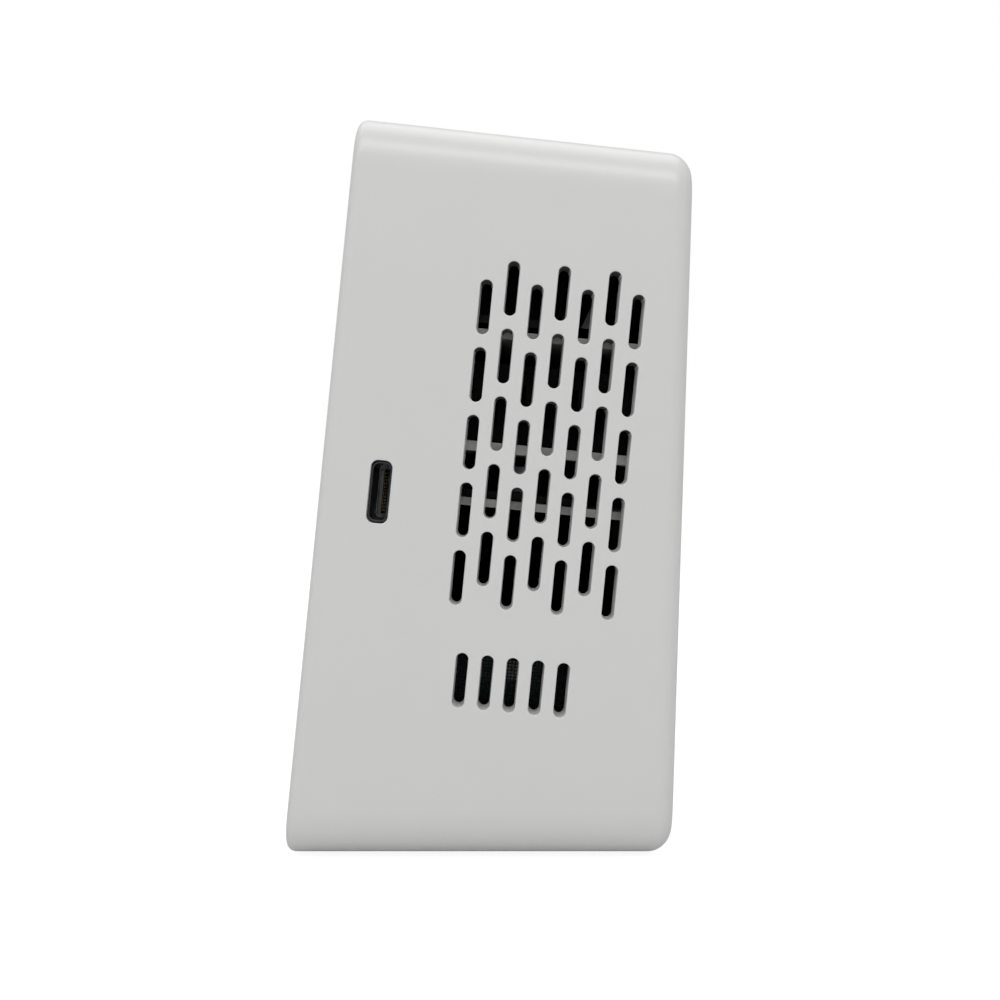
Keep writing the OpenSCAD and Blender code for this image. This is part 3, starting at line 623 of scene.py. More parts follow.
vents = {
    "slotLength": 8.06 * mm,
    "slotWidth": 1.84 * mm,
    "rim": 0.14 * mm,
    "draft": 0.16 * mm,          # how much narrower each side is at the inner end
    "columns": 7,
    "rows": 5,
    "columnPitch": 3.75 * mm,
    "rowPitch": 10 * mm,
    "raise": 3.1 * mm,           # every second column
    "firstDepth": 21.7 * mm,
    "firstHeight": 85 * mm,
    "lowColumns": 5,
    "lowDrop": 15 * mm,
    "allAbove": 20 * mm,         # no slot comes lower than this
}
port = {
    "depth": 9 * mm,
    "height": 56.4 * mm,
    "cut": (3.2 * mm, 9.3 * mm),
    "cutRadius": 1.1 * mm,
    "rim": 0.12 * mm,
    "shell": (3 * mm, 9 * mm),
    "shellRadius": 1 * mm,
    "mouth": (2.5 * mm, 8.34 * mm),
    "mouthRadius": 0.9 * mm,
    "from": 46.6 * mm,
    "to": 54.2 * mm,
    "floor": 1.2 * mm,
    "tongueHeight": 6.6 * mm,
    "tongueThick": 0.7 * mm,
    "tongueBack": 1 * mm,          # how far its tip stands back from the mouth
    "contacts": 12,
    "contactPitch": 0.5 * mm,
    "contactHalf": 0.13 * mm,
    "contactBack": (1.5 * mm, 4.6 * mm),
    "contactProud": 0.03 * mm,
}
buttons = {
    "across": 9 * mm,
    "height": 95 * mm,
    "radius": 4 * mm,
    "play": 0.15 * mm,
    "dishRadius": 6.2 * mm,
    "dishDepth": 0.8 * mm,
    "capFace": -0.3 * mm,
    "hollow": 0.4 * mm,
    "hollowBall": 17.6 * mm,
    "edge": 0.3 * mm,
    "hollowRim": 3.55 * mm,
    "stemRadius": 1.5 * mm,
    "stemEnd": -6 * mm,
    "flangeRadius": 5 * mm,
    "flange": (-3.85 * mm, -3.05 * mm),
    "flangeEase": 0.15 * mm,
    "signProud": 0.1 * mm,
    "signThick": 0.15 * mm,
    "ringRadius": 1.55 * mm,
    "ringLine": 0.3 * mm,
    "dotRadius": 0.9 * mm,
}
base = {
    "footAcross": 40 * mm,
    "footAlong": (-23 * mm, 18 * mm),
    "footRadius": 5 * mm,
    "footThick": 1.3 * mm,
    "screwAcross": 24 * mm,
    "screwAlong": frontFoot + 10 * mm,
    "screwSeat": 2.9 * mm,
    "bossRadius": 4 * mm,
    "bossFrom": 2.8 * mm,
    "bossTop": 4.6 * mm,
    "wellRadius": 2.2 * mm,
    "boreRadius": 1.2 * mm,
    "bore": (2 * mm, 6 * mm),
}
inside = {
    "postRadius": 2.3 * mm,
    "postAcross": 18 * mm,
    "post": (-10.4 * mm, -2.5 * mm),      # measured out from the back face
    "catchAcross": 20 * mm,
    "catchHalf": 5 * mm,
    "catchIn": (8.2 * mm, 9.4 * mm),      # measured in from the front face
    "catchDown": 1.9 * mm,
    "catchUp": 1 * mm,
}


def slotPlaces():
    for column in range(vents["columns"]):
        for row in range(vents["rows"]):
            lift = vents["raise"] if column % 2 else 0
            yield (vents["firstDepth"] + column * vents["columnPitch"],
                   vents["firstHeight"] - row * vents["rowPitch"] + lift)
    lowest = vents["firstHeight"] - (vents["rows"] - 1) * vents["rowPitch"]
    for column in range(vents["lowColumns"]):
        yield (vents["firstDepth"] + (column + 0.5) * vents["columnPitch"], lowest - vents["lowDrop"])


def isInside(point):
    # on or within the housing's hollow
    inset, slack = housing["wall"], 0.02 * mm
    yBack = backFoot - inset / math.cos(housing["backLean"])
    yTop = frontFoot + housing["height"] * tanFront
    zTop = housing["height"] - inset / math.cos(housing["topSlope"])
    return (abs(point.x) < innerHalf + slack
            and point.z > housing["footProud"] + inset - slack
            and point.z < zTop - (point.y - yTop) * tanTop + slack
            and point.y < yBack + point.z * tanBack + slack)


def isSlotTop(face):
    # a face in a slot's wall, past its rounded rim, that looks down; these faces get the grey painted shade
    depth = halfWidth - abs(face.center.x)
    inWall = vents["rim"] < depth < housing["wall"] and face.center.z > vents["allAbove"]
    return inWall and face.normal.z < -0.4


def makeHousing():
    shell = wedgeBlock("housingShell", 0, 0, housing["cornerReach"], 20, housing["cornerProfile"])
    frontFace = (0, -math.cos(housing["frontLean"]), math.sin(housing["frontLean"]))
    backFace = (0, math.cos(housing["backLean"]), -math.sin(housing["backLean"]))
    bevelRim(shell, frontFace, housing["frontRadius"], 6)
    bevelRim(shell, backFace, housing["backRadius"], 10)
    hollow = wedgeBlock("hollow", housing["wall"], housing["rebateDepth"] - 0.1 * mm,
                        housing["sideRadius"] - housing["wall"], 8)
    combine(shell, hollow)

    # bosses over the floor screws, posts for the button board, catches under the top
    for side in (-1, 1):
        across = side * base["screwAcross"]
        boss = addBar("boss", base["bossRadius"], (across, base["screwAlong"], base["bossFrom"]),
                      (across, base["screwAlong"], base["bossTop"]))
        combine(shell, boss, "UNION")
        across = side * inside["postAcross"]
        postFrom, postTo = inside["post"]
        post = addBar("post", inside["postRadius"], (across, postFrom, buttons["height"]),
                      (across, postTo, buttons["height"]), "Y")
        post.data.transform(atBack)
        combine(shell, post, "UNION")
        across, half = side * inside["catchAcross"], inside["catchHalf"]
        catchFrom, catchTo = inside["catchIn"]
        catch = addBlock("catch", (across - half, catchFrom, openingHigh - inside["catchDown"]),
                         (across + half, catchTo, openingHigh + inside["catchUp"]))
        catch.data.transform(atFront)
        combine(shell, catch, "UNION")

    opening = addBlock("opening", (-openingHalf, -housing["rebateDepth"], openingLow),
                       (openingHalf, housing["rebateDepth"], openingHigh))
    bevelEdges(opening, runsAlong(1), openingRadius, 12)
    opening.data.transform(atFront)
    combine(shell, opening)

    # the vent slots of both sides, cut in one go
    pattern = pillCutter("slot", vents["slotWidth"], vents["slotLength"], housing["wall"] + mm,
                         vents["rim"], draft=vents["draft"])
    places = []
    for depth, height in slotPlaces():
        for side in (1, -1):
            turn = Matrix.Identity(4) if side > 0 else Matrix.Rotation(math.pi, 4, "Z")
            places.append(atFront @ Matrix.Translation((side * halfWidth, depth, height)) @ turn)
    combine(shell, spread("slots", pattern, places))

    # the charging port's opening
    cutY, cutZ = port["cut"]
    mouth = addBlock("portMouth", (-housing["wall"] - mm, -cutY / 2, -cutZ / 2),
                     (-port["rim"], cutY / 2, cutZ / 2))
    bevelEdges(mouth, runsAlong(0), port["cutRadius"], 6)
    flareMouth(mouth, cutY / 2, cutZ / 2, port["rim"], -port["rim"])
    mouth.data.transform(atFront @ Matrix.Translation((halfWidth, port["depth"], port["height"])))
    combine(shell, mouth)

    # a shallow pill round both buttons, and a hole for each
    middle = atBack @ Matrix.Translation((0, 0, buttons["height"])) @ pointBack
    dish = pillCutter("dish", 2 * buttons["dishRadius"], 2 * (buttons["dishRadius"] + buttons["across"]),
                      buttons["dishDepth"], 0.3 * mm, 64, 0.35 * mm)
    dish.data.transform(middle)
    combine(shell, dish)
    for side in (-1, 1):
        across = side * buttons["across"]
        hole = addBar("buttonHole", buttons["radius"] + buttons["play"], (across, -5 * mm, 0),
                      (across, mm, 0), "Y", 64)
        hole.data.transform(atBack @ Matrix.Translation((0, 0, buttons["height"])))
        combine(shell, hole)

    # recesses for the feet and the floor screws
    for side in (-1, 1):
        for along in base["footAlong"]:
            recess = pillCutter("recess", 2 * (base["footRadius"] + 0.1 * mm), 0,
                                base["footThick"] - housing["footProud"], 0.15 * mm, 64)
            spot = Matrix.Translation((side * base["footAcross"], along, housing["footProud"]))
            recess.data.transform(spot @ pointDown)
            combine(shell, recess)
        well = pillCutter("screwWell", 2 * base["wellRadius"], 0, base["screwSeat"] - housing["footProud"],
                          0.2 * mm, 48)
        spot = Matrix.Translation((side * base["screwAcross"], base["screwAlong"], housing["footProud"]))
        well.data.transform(spot @ pointDown)
        combine(shell, well)
        boreFrom, boreTo = base["bore"]
        bore = addBar("screwBore", base["boreRadius"], (0, 0, boreFrom), (0, 0, boreTo))
        bore.data.transform(spot)
        combine(shell, bore)
    cleanFaces(shell)
    fit(shell, finishes["white_abs"], instead=["rear_housing"])
    # the faces inside the hollow are coloured black, and the slots' upper ends, which look down, get grey
    # painted shade
    shell.data.materials.append(finishes["inside_black"])
    shell.data.materials.append(finishes["painted_slot_shade"])
    for face in shell.data.polygons:
        if isInside(face.center):
            face.material_index = 1
        elif isSlotTop(face):
            face.material_index = 2
        else:
            face.material_index = 0
    print("housing ready:", len(shell.data.polygons), "faces")


def makePort():
    place = atFront @ Matrix.Translation((0, port["depth"], port["height"]))
    outY, outZ = port["shell"]
    shell = addBlock("portShell", (port["from"], -outY / 2, -outZ / 2), (port["to"], outY / 2, outZ / 2))
    bevelEdges(shell, runsAlong(0), port["shellRadius"], 8)
    inY, inZ = port["mouth"]
    flare = 0.1 * mm
    floor = port["from"] + port["floor"]
    hollow = addBlock("portHollow", (floor, -inY / 2, -inZ / 2), (port["to"] - flare, inY / 2, inZ / 2))
    bevelEdges(hollow, runsAlong(0), port["mouthRadius"], 8)
    hollow.data.transform(Matrix.Translation((-port["to"], 0, 0)))
    flareMouth(hollow, inY / 2, inZ / 2, flare, -flare)
    hollow.data.transform(Matrix.Translation((port["to"], 0, 0)))
    combine(shell, hollow)
    bevelRim(shell, (1, 0, 0), 0.05 * mm, 2)
    shell.data.transform(place)
    cleanFaces(shell)
    fit(shell, finishes["socket_steel"], instead=["usb_socket"])
    # the socket's floor is its insulator
    shell.data.materials.append(finishes["insulator"])
    for face in shell.data.polygons:
        atFloor = abs(face.center.x - floor) < 0.05 * mm
        face.material_index = 1 if atFloor and face.normal.x > 0.9 else 0

    # the contact tongue, its tip bevelled
    halfThick, halfTall = port["tongueThick"] / 2, port["tongueHeight"] / 2
    tongue = addBlock("portTongue", (floor, -halfThick, -halfTall),
                      (port["to"] - port["tongueBack"], halfThick, halfTall))
    bevelRim(tongue, (1, 0, 0), 0.18 * mm, 3)
    tongue.data.transform(place)
    cleanFaces(tongue)
    fit(tongue, finishes["tongue"], instead=["usb_tongue"])

    # one gold contact, then a row of them on each face of the tongue
    near, far = port["contactBack"]
    half, proud = port["contactHalf"], port["contactProud"]
    strip = addBlock("portContacts", (port["to"] - far, halfThick - 0.02 * mm, -half),
                     (port["to"] - near, halfThick + proud, half))
    bevelRim(strip, (0, 1, 0), 0.02 * mm, 2)
    first = -(port["contacts"] - 1) / 2 * port["contactPitch"]
    places = []
    for index in range(port["contacts"]):
        for side in (0, math.pi):
            step = Matrix.Translation((0, 0, first + index * port["contactPitch"]))
            places.append(place @ Matrix.Rotation(side, 4, "X") @ step)
    contacts = spread("portContacts", strip, places)
    cleanFaces(contacts)
    fit(contacts, finishes["gold_plate"])
    print("charging port ready")


def signTop():
    return buttons["capFace"] - buttons["hollow"] + buttons["signProud"]


def printedRing(name, outer):
    # a thin printed ring on a cap's dished face
    top = signTop()
    ring = addBar(name, outer, (0, top - buttons["signThick"], 0), (0, top, 0), "Y", 64)
    hole = addBar("hole", outer - buttons["ringLine"], (0, top - mm, 0), (0, top + mm, 0), "Y", 64)
    combine(ring, hole)
    return ring


def powerSign():
    # a ring open at the top with a bar standing in the gap
    ring = printedRing("powerSign", buttons["ringRadius"])
    halfGap, halfLine = 0.55 * mm, buttons["ringLine"] / 2
    gap = addBlock("gap", (-halfGap, -2 * mm, 0.5 * mm), (halfGap, 2 * mm, 2 * mm))
    combine(ring, gap)
    bar = addBlock("bar", (-halfLine, signTop() - buttons["signThick"], 0.1 * mm),
                   (halfLine, signTop(), 1.6 * mm))
    return joined("powerSign", [ring, bar])


def modeSign():
    return printedRing("modeSign", buttons["dotRadius"])


def capRings():
    # from the stem's end up over the flange to the face's rounded edge, then in over the dished face
    face, edge, radius = buttons["capFace"], buttons["edge"], buttons["radius"]
    stem, end, ease = buttons["stemRadius"], buttons["stemEnd"], buttons["flangeEase"]
    flange, (low, high) = buttons["flangeRadius"], buttons["flange"]
    rings = [(stem - 0.2 * mm, end), (stem, end + 0.2 * mm), (stem, low - 0.01 * mm), (flange - ease, low),
             (flange, low + ease), (flange, high - ease), (flange - ease, high), (radius, high),
             (radius, face - edge)]
    for angle in (math.radians(30), math.radians(60), math.radians(90)):
        rings.append((radius - edge * (1 - math.cos(angle)), face - edge + edge * math.sin(angle)))
    ball = buttons["hollowBall"]
    for share in (1.0, 0.94, 0.85, 0.72, 0.55, 0.36, 0.18, 0.04):
        along = buttons["hollowRim"] * share
        sunk = face - buttons["hollow"] + ball - math.sqrt(ball ** 2 - along ** 2)
        rings.append((along, min(face, sunk)))
    return rings


def makeButtons():
    for side, label, makeSymbol in ((-1, "power", powerSign), (1, "mode", modeSign)):
        body = label + "_button"
        place = atBack @ Matrix.Translation((side * buttons["across"], 0, buttons["height"]))
        cap = turned(label + "Cap", capRings(), 96)
        cap.data.transform(place @ Matrix.Rotation(-math.pi / 2, 4, "X"))
        cleanFaces(cap)
        fit(cap, finishes["cap"], body, [body])
        sign = makeSymbol()
        sign.data.transform(place)
        cleanFaces(sign, 30, False)
        fit(sign, finishes["ink"], body)
    print("buttons ready")


def makeFeet():
    radius, thick = base["footRadius"], base["footThick"]
    deep, slope = 0.22 * mm, 0.05 * mm
    rings = [(radius, thick), (radius, 0.45 * mm), (radius - 0.05 * mm, 0.25 * mm),
             (radius - 0.2 * mm, 0.08 * mm), (radius - 0.45 * mm, 0)]
    # a ring groove, then a round hollow in the middle
    rings += [(3.7 * mm, 0), (3.6 * mm, slope), (3.5 * mm, deep), (3.1 * mm, deep), (3 * mm, slope),
              (2.9 * mm, 0), (1.6 * mm, 0), (1.5 * mm, slope), (1.4 * mm, deep), (0.2 * mm, deep)]
    foot = turned("foot", rings)
    places = [Matrix.Translation((side * base["footAcross"], along, 0))
              for side in (-1, 1) for along in base["footAlong"]]
    feet = spread("feetPads", foot, places)
    cleanFaces(feet, 50)
    fit(feet, finishes["silicone"], instead=["feet"])
    print("feet ready")


screw = {
    "headRadius": 1.9 * mm,
    "headHeight": 1.4 * mm,
    "shankRadius": 1 * mm,
    "coreRadius": 0.8 * mm,
    "pitch": 0.45 * mm,
    "threadRadius": 0.2 * mm,
    "tip": 0.6 * mm,
    "crossHalf": (1.05 * mm, 0.2 * mm),
    "crossDeep": 0.75 * mm,
    # where they sit: heights up the front face, places across it, and how far in
    "heights": (19.5 * mm, 103.5 * mm),
    "boardAcross": 44 * mm,
    "boardIn": 7.4 * mm,
    "carrierAcross": 34 * mm,
    "carrierIn": 13 * mm,
    "buttonIn": 12 * mm,
}


def makeScrew(length):
    # pan head up, thread down, the cross tapering as it goes in
    head, tall = screw["headRadius"], screw["headHeight"]
    core, shank, tip = screw["coreRadius"], screw["shankRadius"], screw["tip"]
    rings = [(0.3 * mm, -length), (core * 0.8, -length + 0.25 * mm), (core, -length + tip),
             (core, -0.4 * mm), (shank, -0.2 * mm), (shank, 0), (head - 0.1 * mm, 0), (head, 0.1 * mm)]
    rings += [(head * share, tall * up) for share, up in
              ((1, 0.45), (0.95, 0.68), (0.82, 0.86), (0.6, 0.96), (0.3, 1))]
    body = turned("screw", rings, 32)
    halfLong, halfWide = screw["crossHalf"]
    for turn in (0, math.pi / 2):
        bar = addBlock("cross", (-halfLong, -halfWide, tall - screw["crossDeep"]),
                       (halfLong, halfWide, tall + mm))
        choose(bar, "VERT", lambda vert: vert.co.z < tall)
        bpy.ops.transform.resize(value=(0.6, 0.7, 1), center_override=(0, 0, 0))
        doneEditing()
        bar.data.transform(Matrix.Rotation(turn, 4, "Z"))
        combine(body, bar)
    # the thread: a small triangle wound down the core
    turns = int((length - tip - 0.1 * mm) / screw["pitch"])
    start = (shank - screw["threadRadius"], 0, -length + tip)
    deselectAll()
    bpy.ops.mesh.primitive_circle_add(vertices=3, radius=screw["threadRadius"], fill_type="NOTHING",
                                      rotation=(math.pi / 2, 0, 0), location=start)
    thread = putInPlace(bpy.context.object)
    choose(thread, "VERT", lambda vert: True)
    bpy.ops.transform.rotate(value=math.pi / 2, orient_axis="Y", center_override=start)
    doneEditing()
    applyModifier(thread, "SCREW", axis="Z", screw_offset=screw["pitch"], iterations=turns,
                  steps=16, render_steps=16, use_merge_vertices=False)
    choose(thread, "EDGE", lambda edge: len(edge.link_faces) == 1)
    bpy.ops.mesh.edge_face_add()
    doneEditing()
    return joined("screw", [body, thread])


def inFrontFace(across, depth):
    # four places on the front face, their heads towards the back
    leanHead = Matrix.Rotation(-math.pi / 2, 4, "X")
    return [atFront @ Matrix.Translation((side * across, depth, height)) @ leanHead
            for side in (-1, 1) for height in screw["heights"]]


def makeScrews():
    inFloor = [Matrix.Translation((side * base["screwAcross"], base["screwAlong"], base["screwSeat"]))
               @ Matrix.Rotation(math.pi, 4, "X") for side in (-1, 1)]
    leanBack = Matrix.Rotation(math.pi / 2, 4, "X")
    inPosts = [atBack @ Matrix.Translation(
        (side * inside["postAcross"], -screw["buttonIn"], buttons["height"])) @ leanBack for side in (-1, 1)]
    groups = {
        "housing_screws": (6.5 * mm, inFloor),
        "board_screws": (4 * mm, inFrontFace(screw["boardAcross"], screw["boardIn"])),
        "carrier_screws": (7 * mm, inFrontFace(screw["carrierAcross"], screw["carrierIn"])),
        "button_screws": (6 * mm, inPosts),
    }
    for index, (node, (length, places)) in enumerate(groups.items()):
        turn = Matrix.Rotation(math.radians(25 + 31 * index), 4, "Z")
        name = node.replace("_screws", "Screws")
        piece = spread(name, makeScrew(length), [place @ turn for place in places])
        cleanFaces(piece, 40, False)
        fit(piece, finishes["zinc_steel"], instead=[node])
    print("screws ready")


weave = {
    "pitch": 0.5 * mm,
    "wireRadius": 0.072 * mm,
    "from": 20 * mm,
    "to": 43 * mm,
    "low": 23.9 * mm,
    "high": 36.1 * mm,
    "inside": 51.55 * mm,
}


def makeWire(length, flip):
    # one crimped wire along Y, rising and falling over each wire it crosses
    steps = int(round(length / (weave["pitch"] / 2)))
    wire = addBar("wire", weave["wireRadius"], (0, 0, 0), (0, length, 0), "Y", 5)
    choose(wire, "EDGE", runsAlong(1))
    bpy.ops.mesh.subdivide(number_cuts=steps - 1)
    doneEditing()
    for vert in wire.data.vertices:
        vert.co.x += flip * weave["wireRadius"] * math.cos(math.pi * vert.co.y / weave["pitch"])
    return wire


def makeWeave():
    # woven wire cloth behind the low slots of each side
    across = weave["high"] - weave["low"]
    along = weave["to"] - weave["from"]
    countAlong = int(round(across / weave["pitch"]))
    countUp = int(round(along / weave["pitch"]))
    standUp = Matrix.Rotation(math.pi / 2, 4, "X")
    for node, name, side in (("mesh_right", "meshRightCloth", 1), ("mesh_left", "meshLeftCloth", -1)):
        place = atFront @ Matrix.Translation((side * weave["inside"], 0, 0))
        wires = []
        level = [makeWire(along, 1), makeWire(along, -1)]
        for index in range(countAlong + 1):
            step = Matrix.Translation((0, weave["from"], weave["low"] + index * across / countAlong))
            wires.append(copyOf(level[index % 2], place @ step))
        upright = [makeWire(across, -1), makeWire(across, 1)]
        for index in range(countUp + 1):
            step = Matrix.Translation((0, weave["from"] + index * along / countUp, weave["low"]))
            wires.append(copyOf(upright[index % 2], place @ step @ standUp))
        for spare in level + upright:
            bpy.data.objects.remove(spare)
        cloth = joined(name, wires)
        cleanFaces(cloth, 60, False)
        fit(cloth, finishes["mesh_weave"], instead=[node])
    print("wire cloth ready")


display = {
    "front": 2.2 * mm,           # depth of the lit layer behind the front face
    "thick": 0.06 * mm,
    "slant": 0.06,
    "segments": {"0": "abcdef", "1": "bc", "2": "abged", "3": "abgcd", "4": "fgbc", "5": "afgcd",
                 "6": "afgedc", "7": "abc", "8": "abcdefg", "9": "abcdfg"},
    # each number: its digits, left, low, height and advance, in millimetres on the front face
    "numbers": [("612", -16, 56, 25, 18.5), ("10", -38, 90, 6, 4.8), ("24", -26.4, 90, 6, 4.8),
                ("24", -33, 33, 8.5, 6.6), ("03", -7.4, 33, 8.5, 6.6), ("47", 18.2, 33, 8.5, 6.6)],
    # each mark: left, low, right, high and how far its corners are rounded, in millimetres
    "clockDots": [(-28.9, low, -28.1, low + 0.8, 0.2) for low in (91.4, 93.8)],
    "rules": [(-38, 44.6, 38, 44.8, 0), (-12.9, 31, -12.7, 43, 0), (12.7, 31, 12.9, 43, 0)],
    "batteryCells": [(29.9 + 2.2 * cell, 91.9, 31.6 + 2.2 * cell, 94.1, 0.2) for cell in range(3)],
    "batteryTip": [(37.2, 92.2, 37.8, 93.8, 0.2)],
    "risingBars": [(-34.4 + 2.5 * bar, 69, -33.2 + 2.5 * bar, 70.2 + 1.3 * bar, 0.3) for bar in range(3)],
    # each frame: a mark and the width of its line
    "frames": [((29, 91, 37, 95, 0.6), 0.4), ((-37, 66, -25, 76, 1.2), 0.8)],
    # the level bar: its left end, length, low and high edges, corners, steps and how many are lit
    "barLeft": -38,
    "barLength": 76,
    "barEdges": (48.5, 51.5),
    "barCorner": 0.5,
    "barFill": 0.78,
    "barSteps": 14,
    "barLit": 5,
}


def segmentBar(length, thick):
    # a flat bar with pointed ends, lying along X
    deselectAll()
    bpy.ops.mesh.primitive_circle_add(vertices=6, radius=thick / 2, fill_type="NGON",
                                      rotation=(math.pi / 2, 0, 0), location=(0, 0, 0))
    bar = putInPlace(bpy.context.object, Matrix.Rotation(math.pi / 2, 4, "Y"))
    for side in (-1, 1):
        choose(bar, "VERT", lambda vert: vert.co.x * side > 0)
        bpy.ops.transform.translate(value=(side * (length - thick) / 2, 0, 0))
        doneEditing()
    choose(bar, "FACE", lambda face: True)
    bpy.ops.mesh.extrude_region_move(TRANSFORM_OT_translate={"value": (0, display["thick"], 0)})
    doneEditing()
    return bar


def segmentPlaces(digits, left, low, tall, advance):
    # where each lit segment of a number goes: its middle, and whether it stands up
    wide, half = tall / 2, tall / 2
    layout = {"a": (wide / 2, tall, False), "g": (wide / 2, half, False), "d": (wide / 2, 0, False),
              "f": (0, half * 1.5, True), "b": (wide, half * 1.5, True),
              "e": (0, half / 2, True), "c": (wide, half / 2, True)}
    for index, digit in enumerate(digits):
        for key in display["segments"][digit]:
            x, z, upright = layout[key]
            slant = (z - half) * display["slant"]
            yield left + index * advance + x + slant, low + z, upright


def makeNumber(digits, left, low, tall, advance):
    bar = segmentBar(tall * 0.47, tall * 0.11)
    standUp = Matrix.Rotation(math.pi / 2 + display["slant"], 4, "Y")
    places = []
    for x, z, upright in segmentPlaces(digits, left, low, tall, advance):
        turn = standUp if upright else Matrix.Identity(4)
        places.append(Matrix.Translation((x, display["front"], z)) @ turn)
    return spread("number", bar, places)


def makeMark(left, low, right, high, corner):
    back = display["front"] + display["thick"]
    mark = addBlock("mark", (left * mm, display["front"], low * mm), (right * mm, back, high * mm))
    if corner:
        bevelEdges(mark, runsAlong(1), corner * mm, 4)
    return mark


def makeFrame(mark, line):
    left, low, right, high, corner = mark
    frame = makeMark(*mark)
    hole = addBlock("hole", ((left + line) * mm, 2 * mm, (low + line) * mm),
                    ((right - line) * mm, 3 * mm, (high - line) * mm))
    combine(frame, hole)
    return frame


def makeLevelBar(name, code, strength, steps):
    pitch = display["barLength"] / display["barSteps"]
    low, high = display["barEdges"]
    lefts = [display["barLeft"] + step * pitch for step in steps]
    marks = [makeMark(left, low, left + display["barFill"] * pitch, high, display["barCorner"])
             for left in lefts]
    bar = joined(name, marks)
    bar.data.transform(atFront)
    cleanFaces(bar, 30, False)
    fit(bar, litSegment(name + "Light", code, strength))


def makeDisplay():
    lit = [makeNumber(digits, left * mm, low * mm, tall * mm, advance * mm)
           for digits, left, low, tall, advance in display["numbers"]]
    for marks in ("clockDots", "rules", "batteryCells", "batteryTip", "risingBars"):
        lit += [makeMark(*mark) for mark in display[marks]]
    lit += [makeFrame(mark, line) for mark, line in display["frames"]]
    digits = joined("displayDigits", lit)
    digits.data.transform(atFront)
    cleanFaces(digits, 30, False)
    fit(digits, litSegment("litWhiteSegment", "#eef4ff", 7.0))

    # the first steps of the level bar are lit, the rest barely there
    lastLit = display["barLit"]
    makeLevelBar("displayBarLit", "#46d66b", 6.0, range(lastLit))
    makeLevelBar("displayBarUnlit", "#5a6b64", 1.6, range(lastLit, display["barSteps"]))

    window = frontPlate("windowPane", openingHalf - housing["fitGap"], openingLow + housing["fitGap"],
                        openingHigh - housing["fitGap"], 0.3 * mm, 1.9 * mm,
                        openingRadius - housing["fitGap"], 0.2 * mm)
    cleanFaces(window)
    fit(window, finishes["smoked_acrylic"], instead=["display_window"])
    print("display ready")


# Inner pieces: how far their edges are eased, in millimetres, and their finish
innerPieces = {
    "front_frame": (0.12, "black_abs", "black_abs"),
    "lcd_panel": (0.05, "lcd_glass", "lcd_glass"),
    "backlight_panel": (0.08, "diffuser", "diffuser"),
    "main_board": (0.06, "green_laminate", "green_laminate"),
    "controller_chip": (0.08, "chip_resin", "chip_resin"),
    "radio_module": (0.15, "can_steel", "can_steel"),
    "power_parts": (0.15, "chip_resin", "chip_resin"),
    "buzzer": (0.2, "dark_shell", "dark_shell"),
    "board_plugs": (0.12, "plug_nylon", "plug_nylon"),
    "battery": (0.4, "pouch_foil", "pouch_foil"),
    "battery_pad": (0, "foam", "foam"),
    "sensor_carrier": (0.15, "shelf", "white_abs"),
    "divider_foam": (0.2, "foam", "foam"),
    "particle_case": (0.15, "dark_shell", "dark_shell"),
    "particle_lid": (0.15, "dark_shell", "dark_shell"),
    "particle_board": (0.06, "blue_laminate", "blue_laminate"),
    "laser_module": (0.15, "brass", "brass"),
    "fan_motor": (0.1, "can_steel", "can_steel"),
    "co2_board": (0.06, "black_laminate", "blue_laminate"),
    "co2_chamber": (0.25, "dark_steel", "brass"),
    "co2_membrane": (0, "ptfe", "ptfe"),
    "gas_board": (0.06, "black_laminate", "purple_laminate"),
    "gas_sensor": (0.2, "can_steel", "can_steel"),
    "formaldehyde_board": (0.06, "green_laminate", "green_laminate"),
    "formaldehyde_sensor": (0.3, "white_resin", "white_resin"),
    "climate_shroud": (0.15, "black_abs", "black_abs"),
    "climate_board": (0.05, "green_laminate", "green_laminate"),
    "climate_chip": (0.1, "white_resin", "white_resin"),
    "button_board": (0.06, "green_laminate", "green_laminate"),
    "power_switch": (0.12, "dark_shell", "dark_shell"),
    "mode_switch": (0.12, "dark_shell", "dark_shell"),
}
keptPieces = {
    "window_tape": "tape",
    "lcd_ribbon": "polyimide",
    "battery_lead": "red_pvc",
    "particle_lead": "white_pvc",
    "button_lead": "white_pvc",
    "power_plunger": "red_resin",
    "mode_plunger": "red_resin",
    "fan_rotor": "dark_shell",
}


def easeEdges(node, width):
    # a merged copy of a CAD piece with its sharp edges eased, as every moulded or cut edge is
    piece = bpy.data.objects.new(node + "Eased", frame["nodes"][node].data.copy())
    scene.collection.objects.link(piece)
    pick(piece)
    bpy.ops.object.mode_set(mode="EDIT")
    bpy.ops.mesh.select_all(action="SELECT")
    bpy.ops.mesh.remove_doubles(threshold=1e-6)
    bpy.ops.mesh.dissolve_limited(angle_limit=math.radians(0.5))
    bpy.ops.object.mode_set(mode="OBJECT")
    applyModifier(piece, "BEVEL", width=width, segments=2, limit_method="ANGLE",
                  angle_limit=math.radians(40), harden_normals=False)
    return cleanFaces(piece, 40)


def finishInnerPieces():
    for node, (ease, finish, slot) in innerPieces.items():
        if ease:
            fit(easeEdges(node, ease * mm), finishes[finish], instead=[node])
        else:
            dress(frame["nodes"][node], finishes[finish])
    for node, finish in keptPieces.items():
        dress(frame["nodes"][node], finishes[finish])
    print("inner pieces ready:", len(innerPieces) + len(keptPieces))


studio = {
    "skyFill": 0.52,
    # each softbox: its power, its size along and up, and how high it stands on the camera's side
    "lamps": {"keySoftbox": (3.2, (1.2, 0.15), math.radians(40)),
              "topSoftbox": (3.7, (1.2, 0.8), math.radians(95))},
    "lampDistance": 1.0,
    "paperSeen": "#909090",
    "paperBounce": "#cccccc",        # what the paper gives back to the object
    "paperGlow": 0.9,                # lifts the paper to white
}


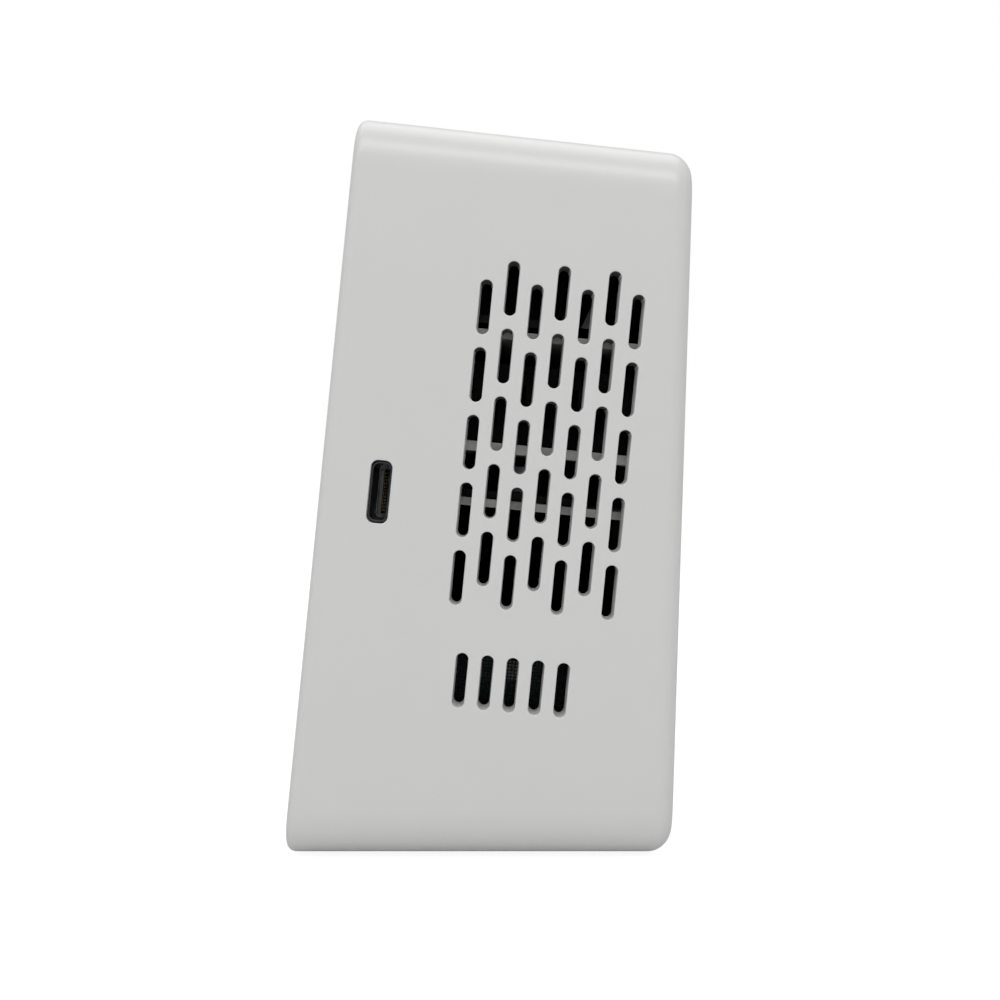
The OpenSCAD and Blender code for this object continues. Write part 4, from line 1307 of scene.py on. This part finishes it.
def makePaper():
    # matt white paper, lifted to an even white, that sends little light back up
    material, tree, shader, place = newMaterial("palePaper", studio["paperBounce"], {"Roughness": 0.95})
    tooth = addNode(tree, "ShaderNodeTexNoise", {"Scale": 1 / (0.6 * mm)}, {"Vector": place})
    bump = addNode(tree, "ShaderNodeBump", {"Strength": 0.05, "Distance": 0.02 * mm},
                   {"Height": tooth.outputs["Fac"]})
    seen = addNode(tree, "ShaderNodeBsdfDiffuse", {"Color": linearColour(studio["paperSeen"])},
                   {"Normal": bump.outputs["Normal"]})
    glow = addNode(tree, "ShaderNodeEmission", {"Strength": studio["paperGlow"]})
    bright = addNode(tree, "ShaderNodeAddShader", links={0: seen.outputs[0], 1: glow.outputs[0]})
    path = addNode(tree, "ShaderNodeLightPath")
    choice = addNode(tree, "ShaderNodeMixShader", links={
        0: path.outputs["Is Camera Ray"], 1: shader.outputs[0], 2: bright.outputs[0]})
    tree.links.new(choice.outputs[0], tree.nodes["Material Output"].inputs["Surface"])
    return material


def makeStudio():
    # white paper to the horizon, even light from all round and two long soft lamps
    scene.view_settings.view_transform = "Standard"
    deselectAll()
    bpy.ops.mesh.primitive_plane_add(size=200, location=(0, 0, 0))
    floor = bpy.context.object
    floor.name = "floor"
    dress(floor, makePaper())
    world = bpy.data.worlds.new("studio")
    scene.world = world
    world.use_nodes = True
    tree = world.node_tree
    fill = tree.nodes["Background"]
    fill.inputs["Color"].default_value = (1, 1, 1, 1)
    fill.inputs["Strength"].default_value = studio["skyFill"]
    seen = addNode(tree, "ShaderNodeBackground", {"Color": (1, 1, 1, 1), "Strength": 1.0})
    path = addNode(tree, "ShaderNodeLightPath")
    mix = addNode(tree, "ShaderNodeMixShader", links={
        0: path.outputs["Is Camera Ray"], 1: fill.outputs[0], 2: seen.outputs[0]})
    tree.links.new(mix.outputs[0], tree.nodes["World Output"].inputs["Surface"])
    middle = Vector((0, 0, housing["height"] / 2))
    across = Vector((0, 1, 0))
    for name, (power, size, height) in studio["lamps"].items():
        lamp = bpy.data.lights.new(name, "AREA")
        lamp.shape = "RECTANGLE"
        lamp.size, lamp.size_y = size
        lamp.energy = power
        softbox = bpy.data.objects.new(name, lamp)
        scene.collection.objects.link(softbox)
        toward = Vector((math.cos(height), 0, math.sin(height)))
        softbox.location = middle + toward * studio["lampDistance"]
        softbox.rotation_euler = Matrix((across, toward.cross(across), toward)).transposed().to_euler()
    print("studio ready")


makeHousing()
makePort()
makeButtons()
makeFeet()
makeScrews()
makeWeave()
makeDisplay()
finishInnerPieces()
makeStudio()
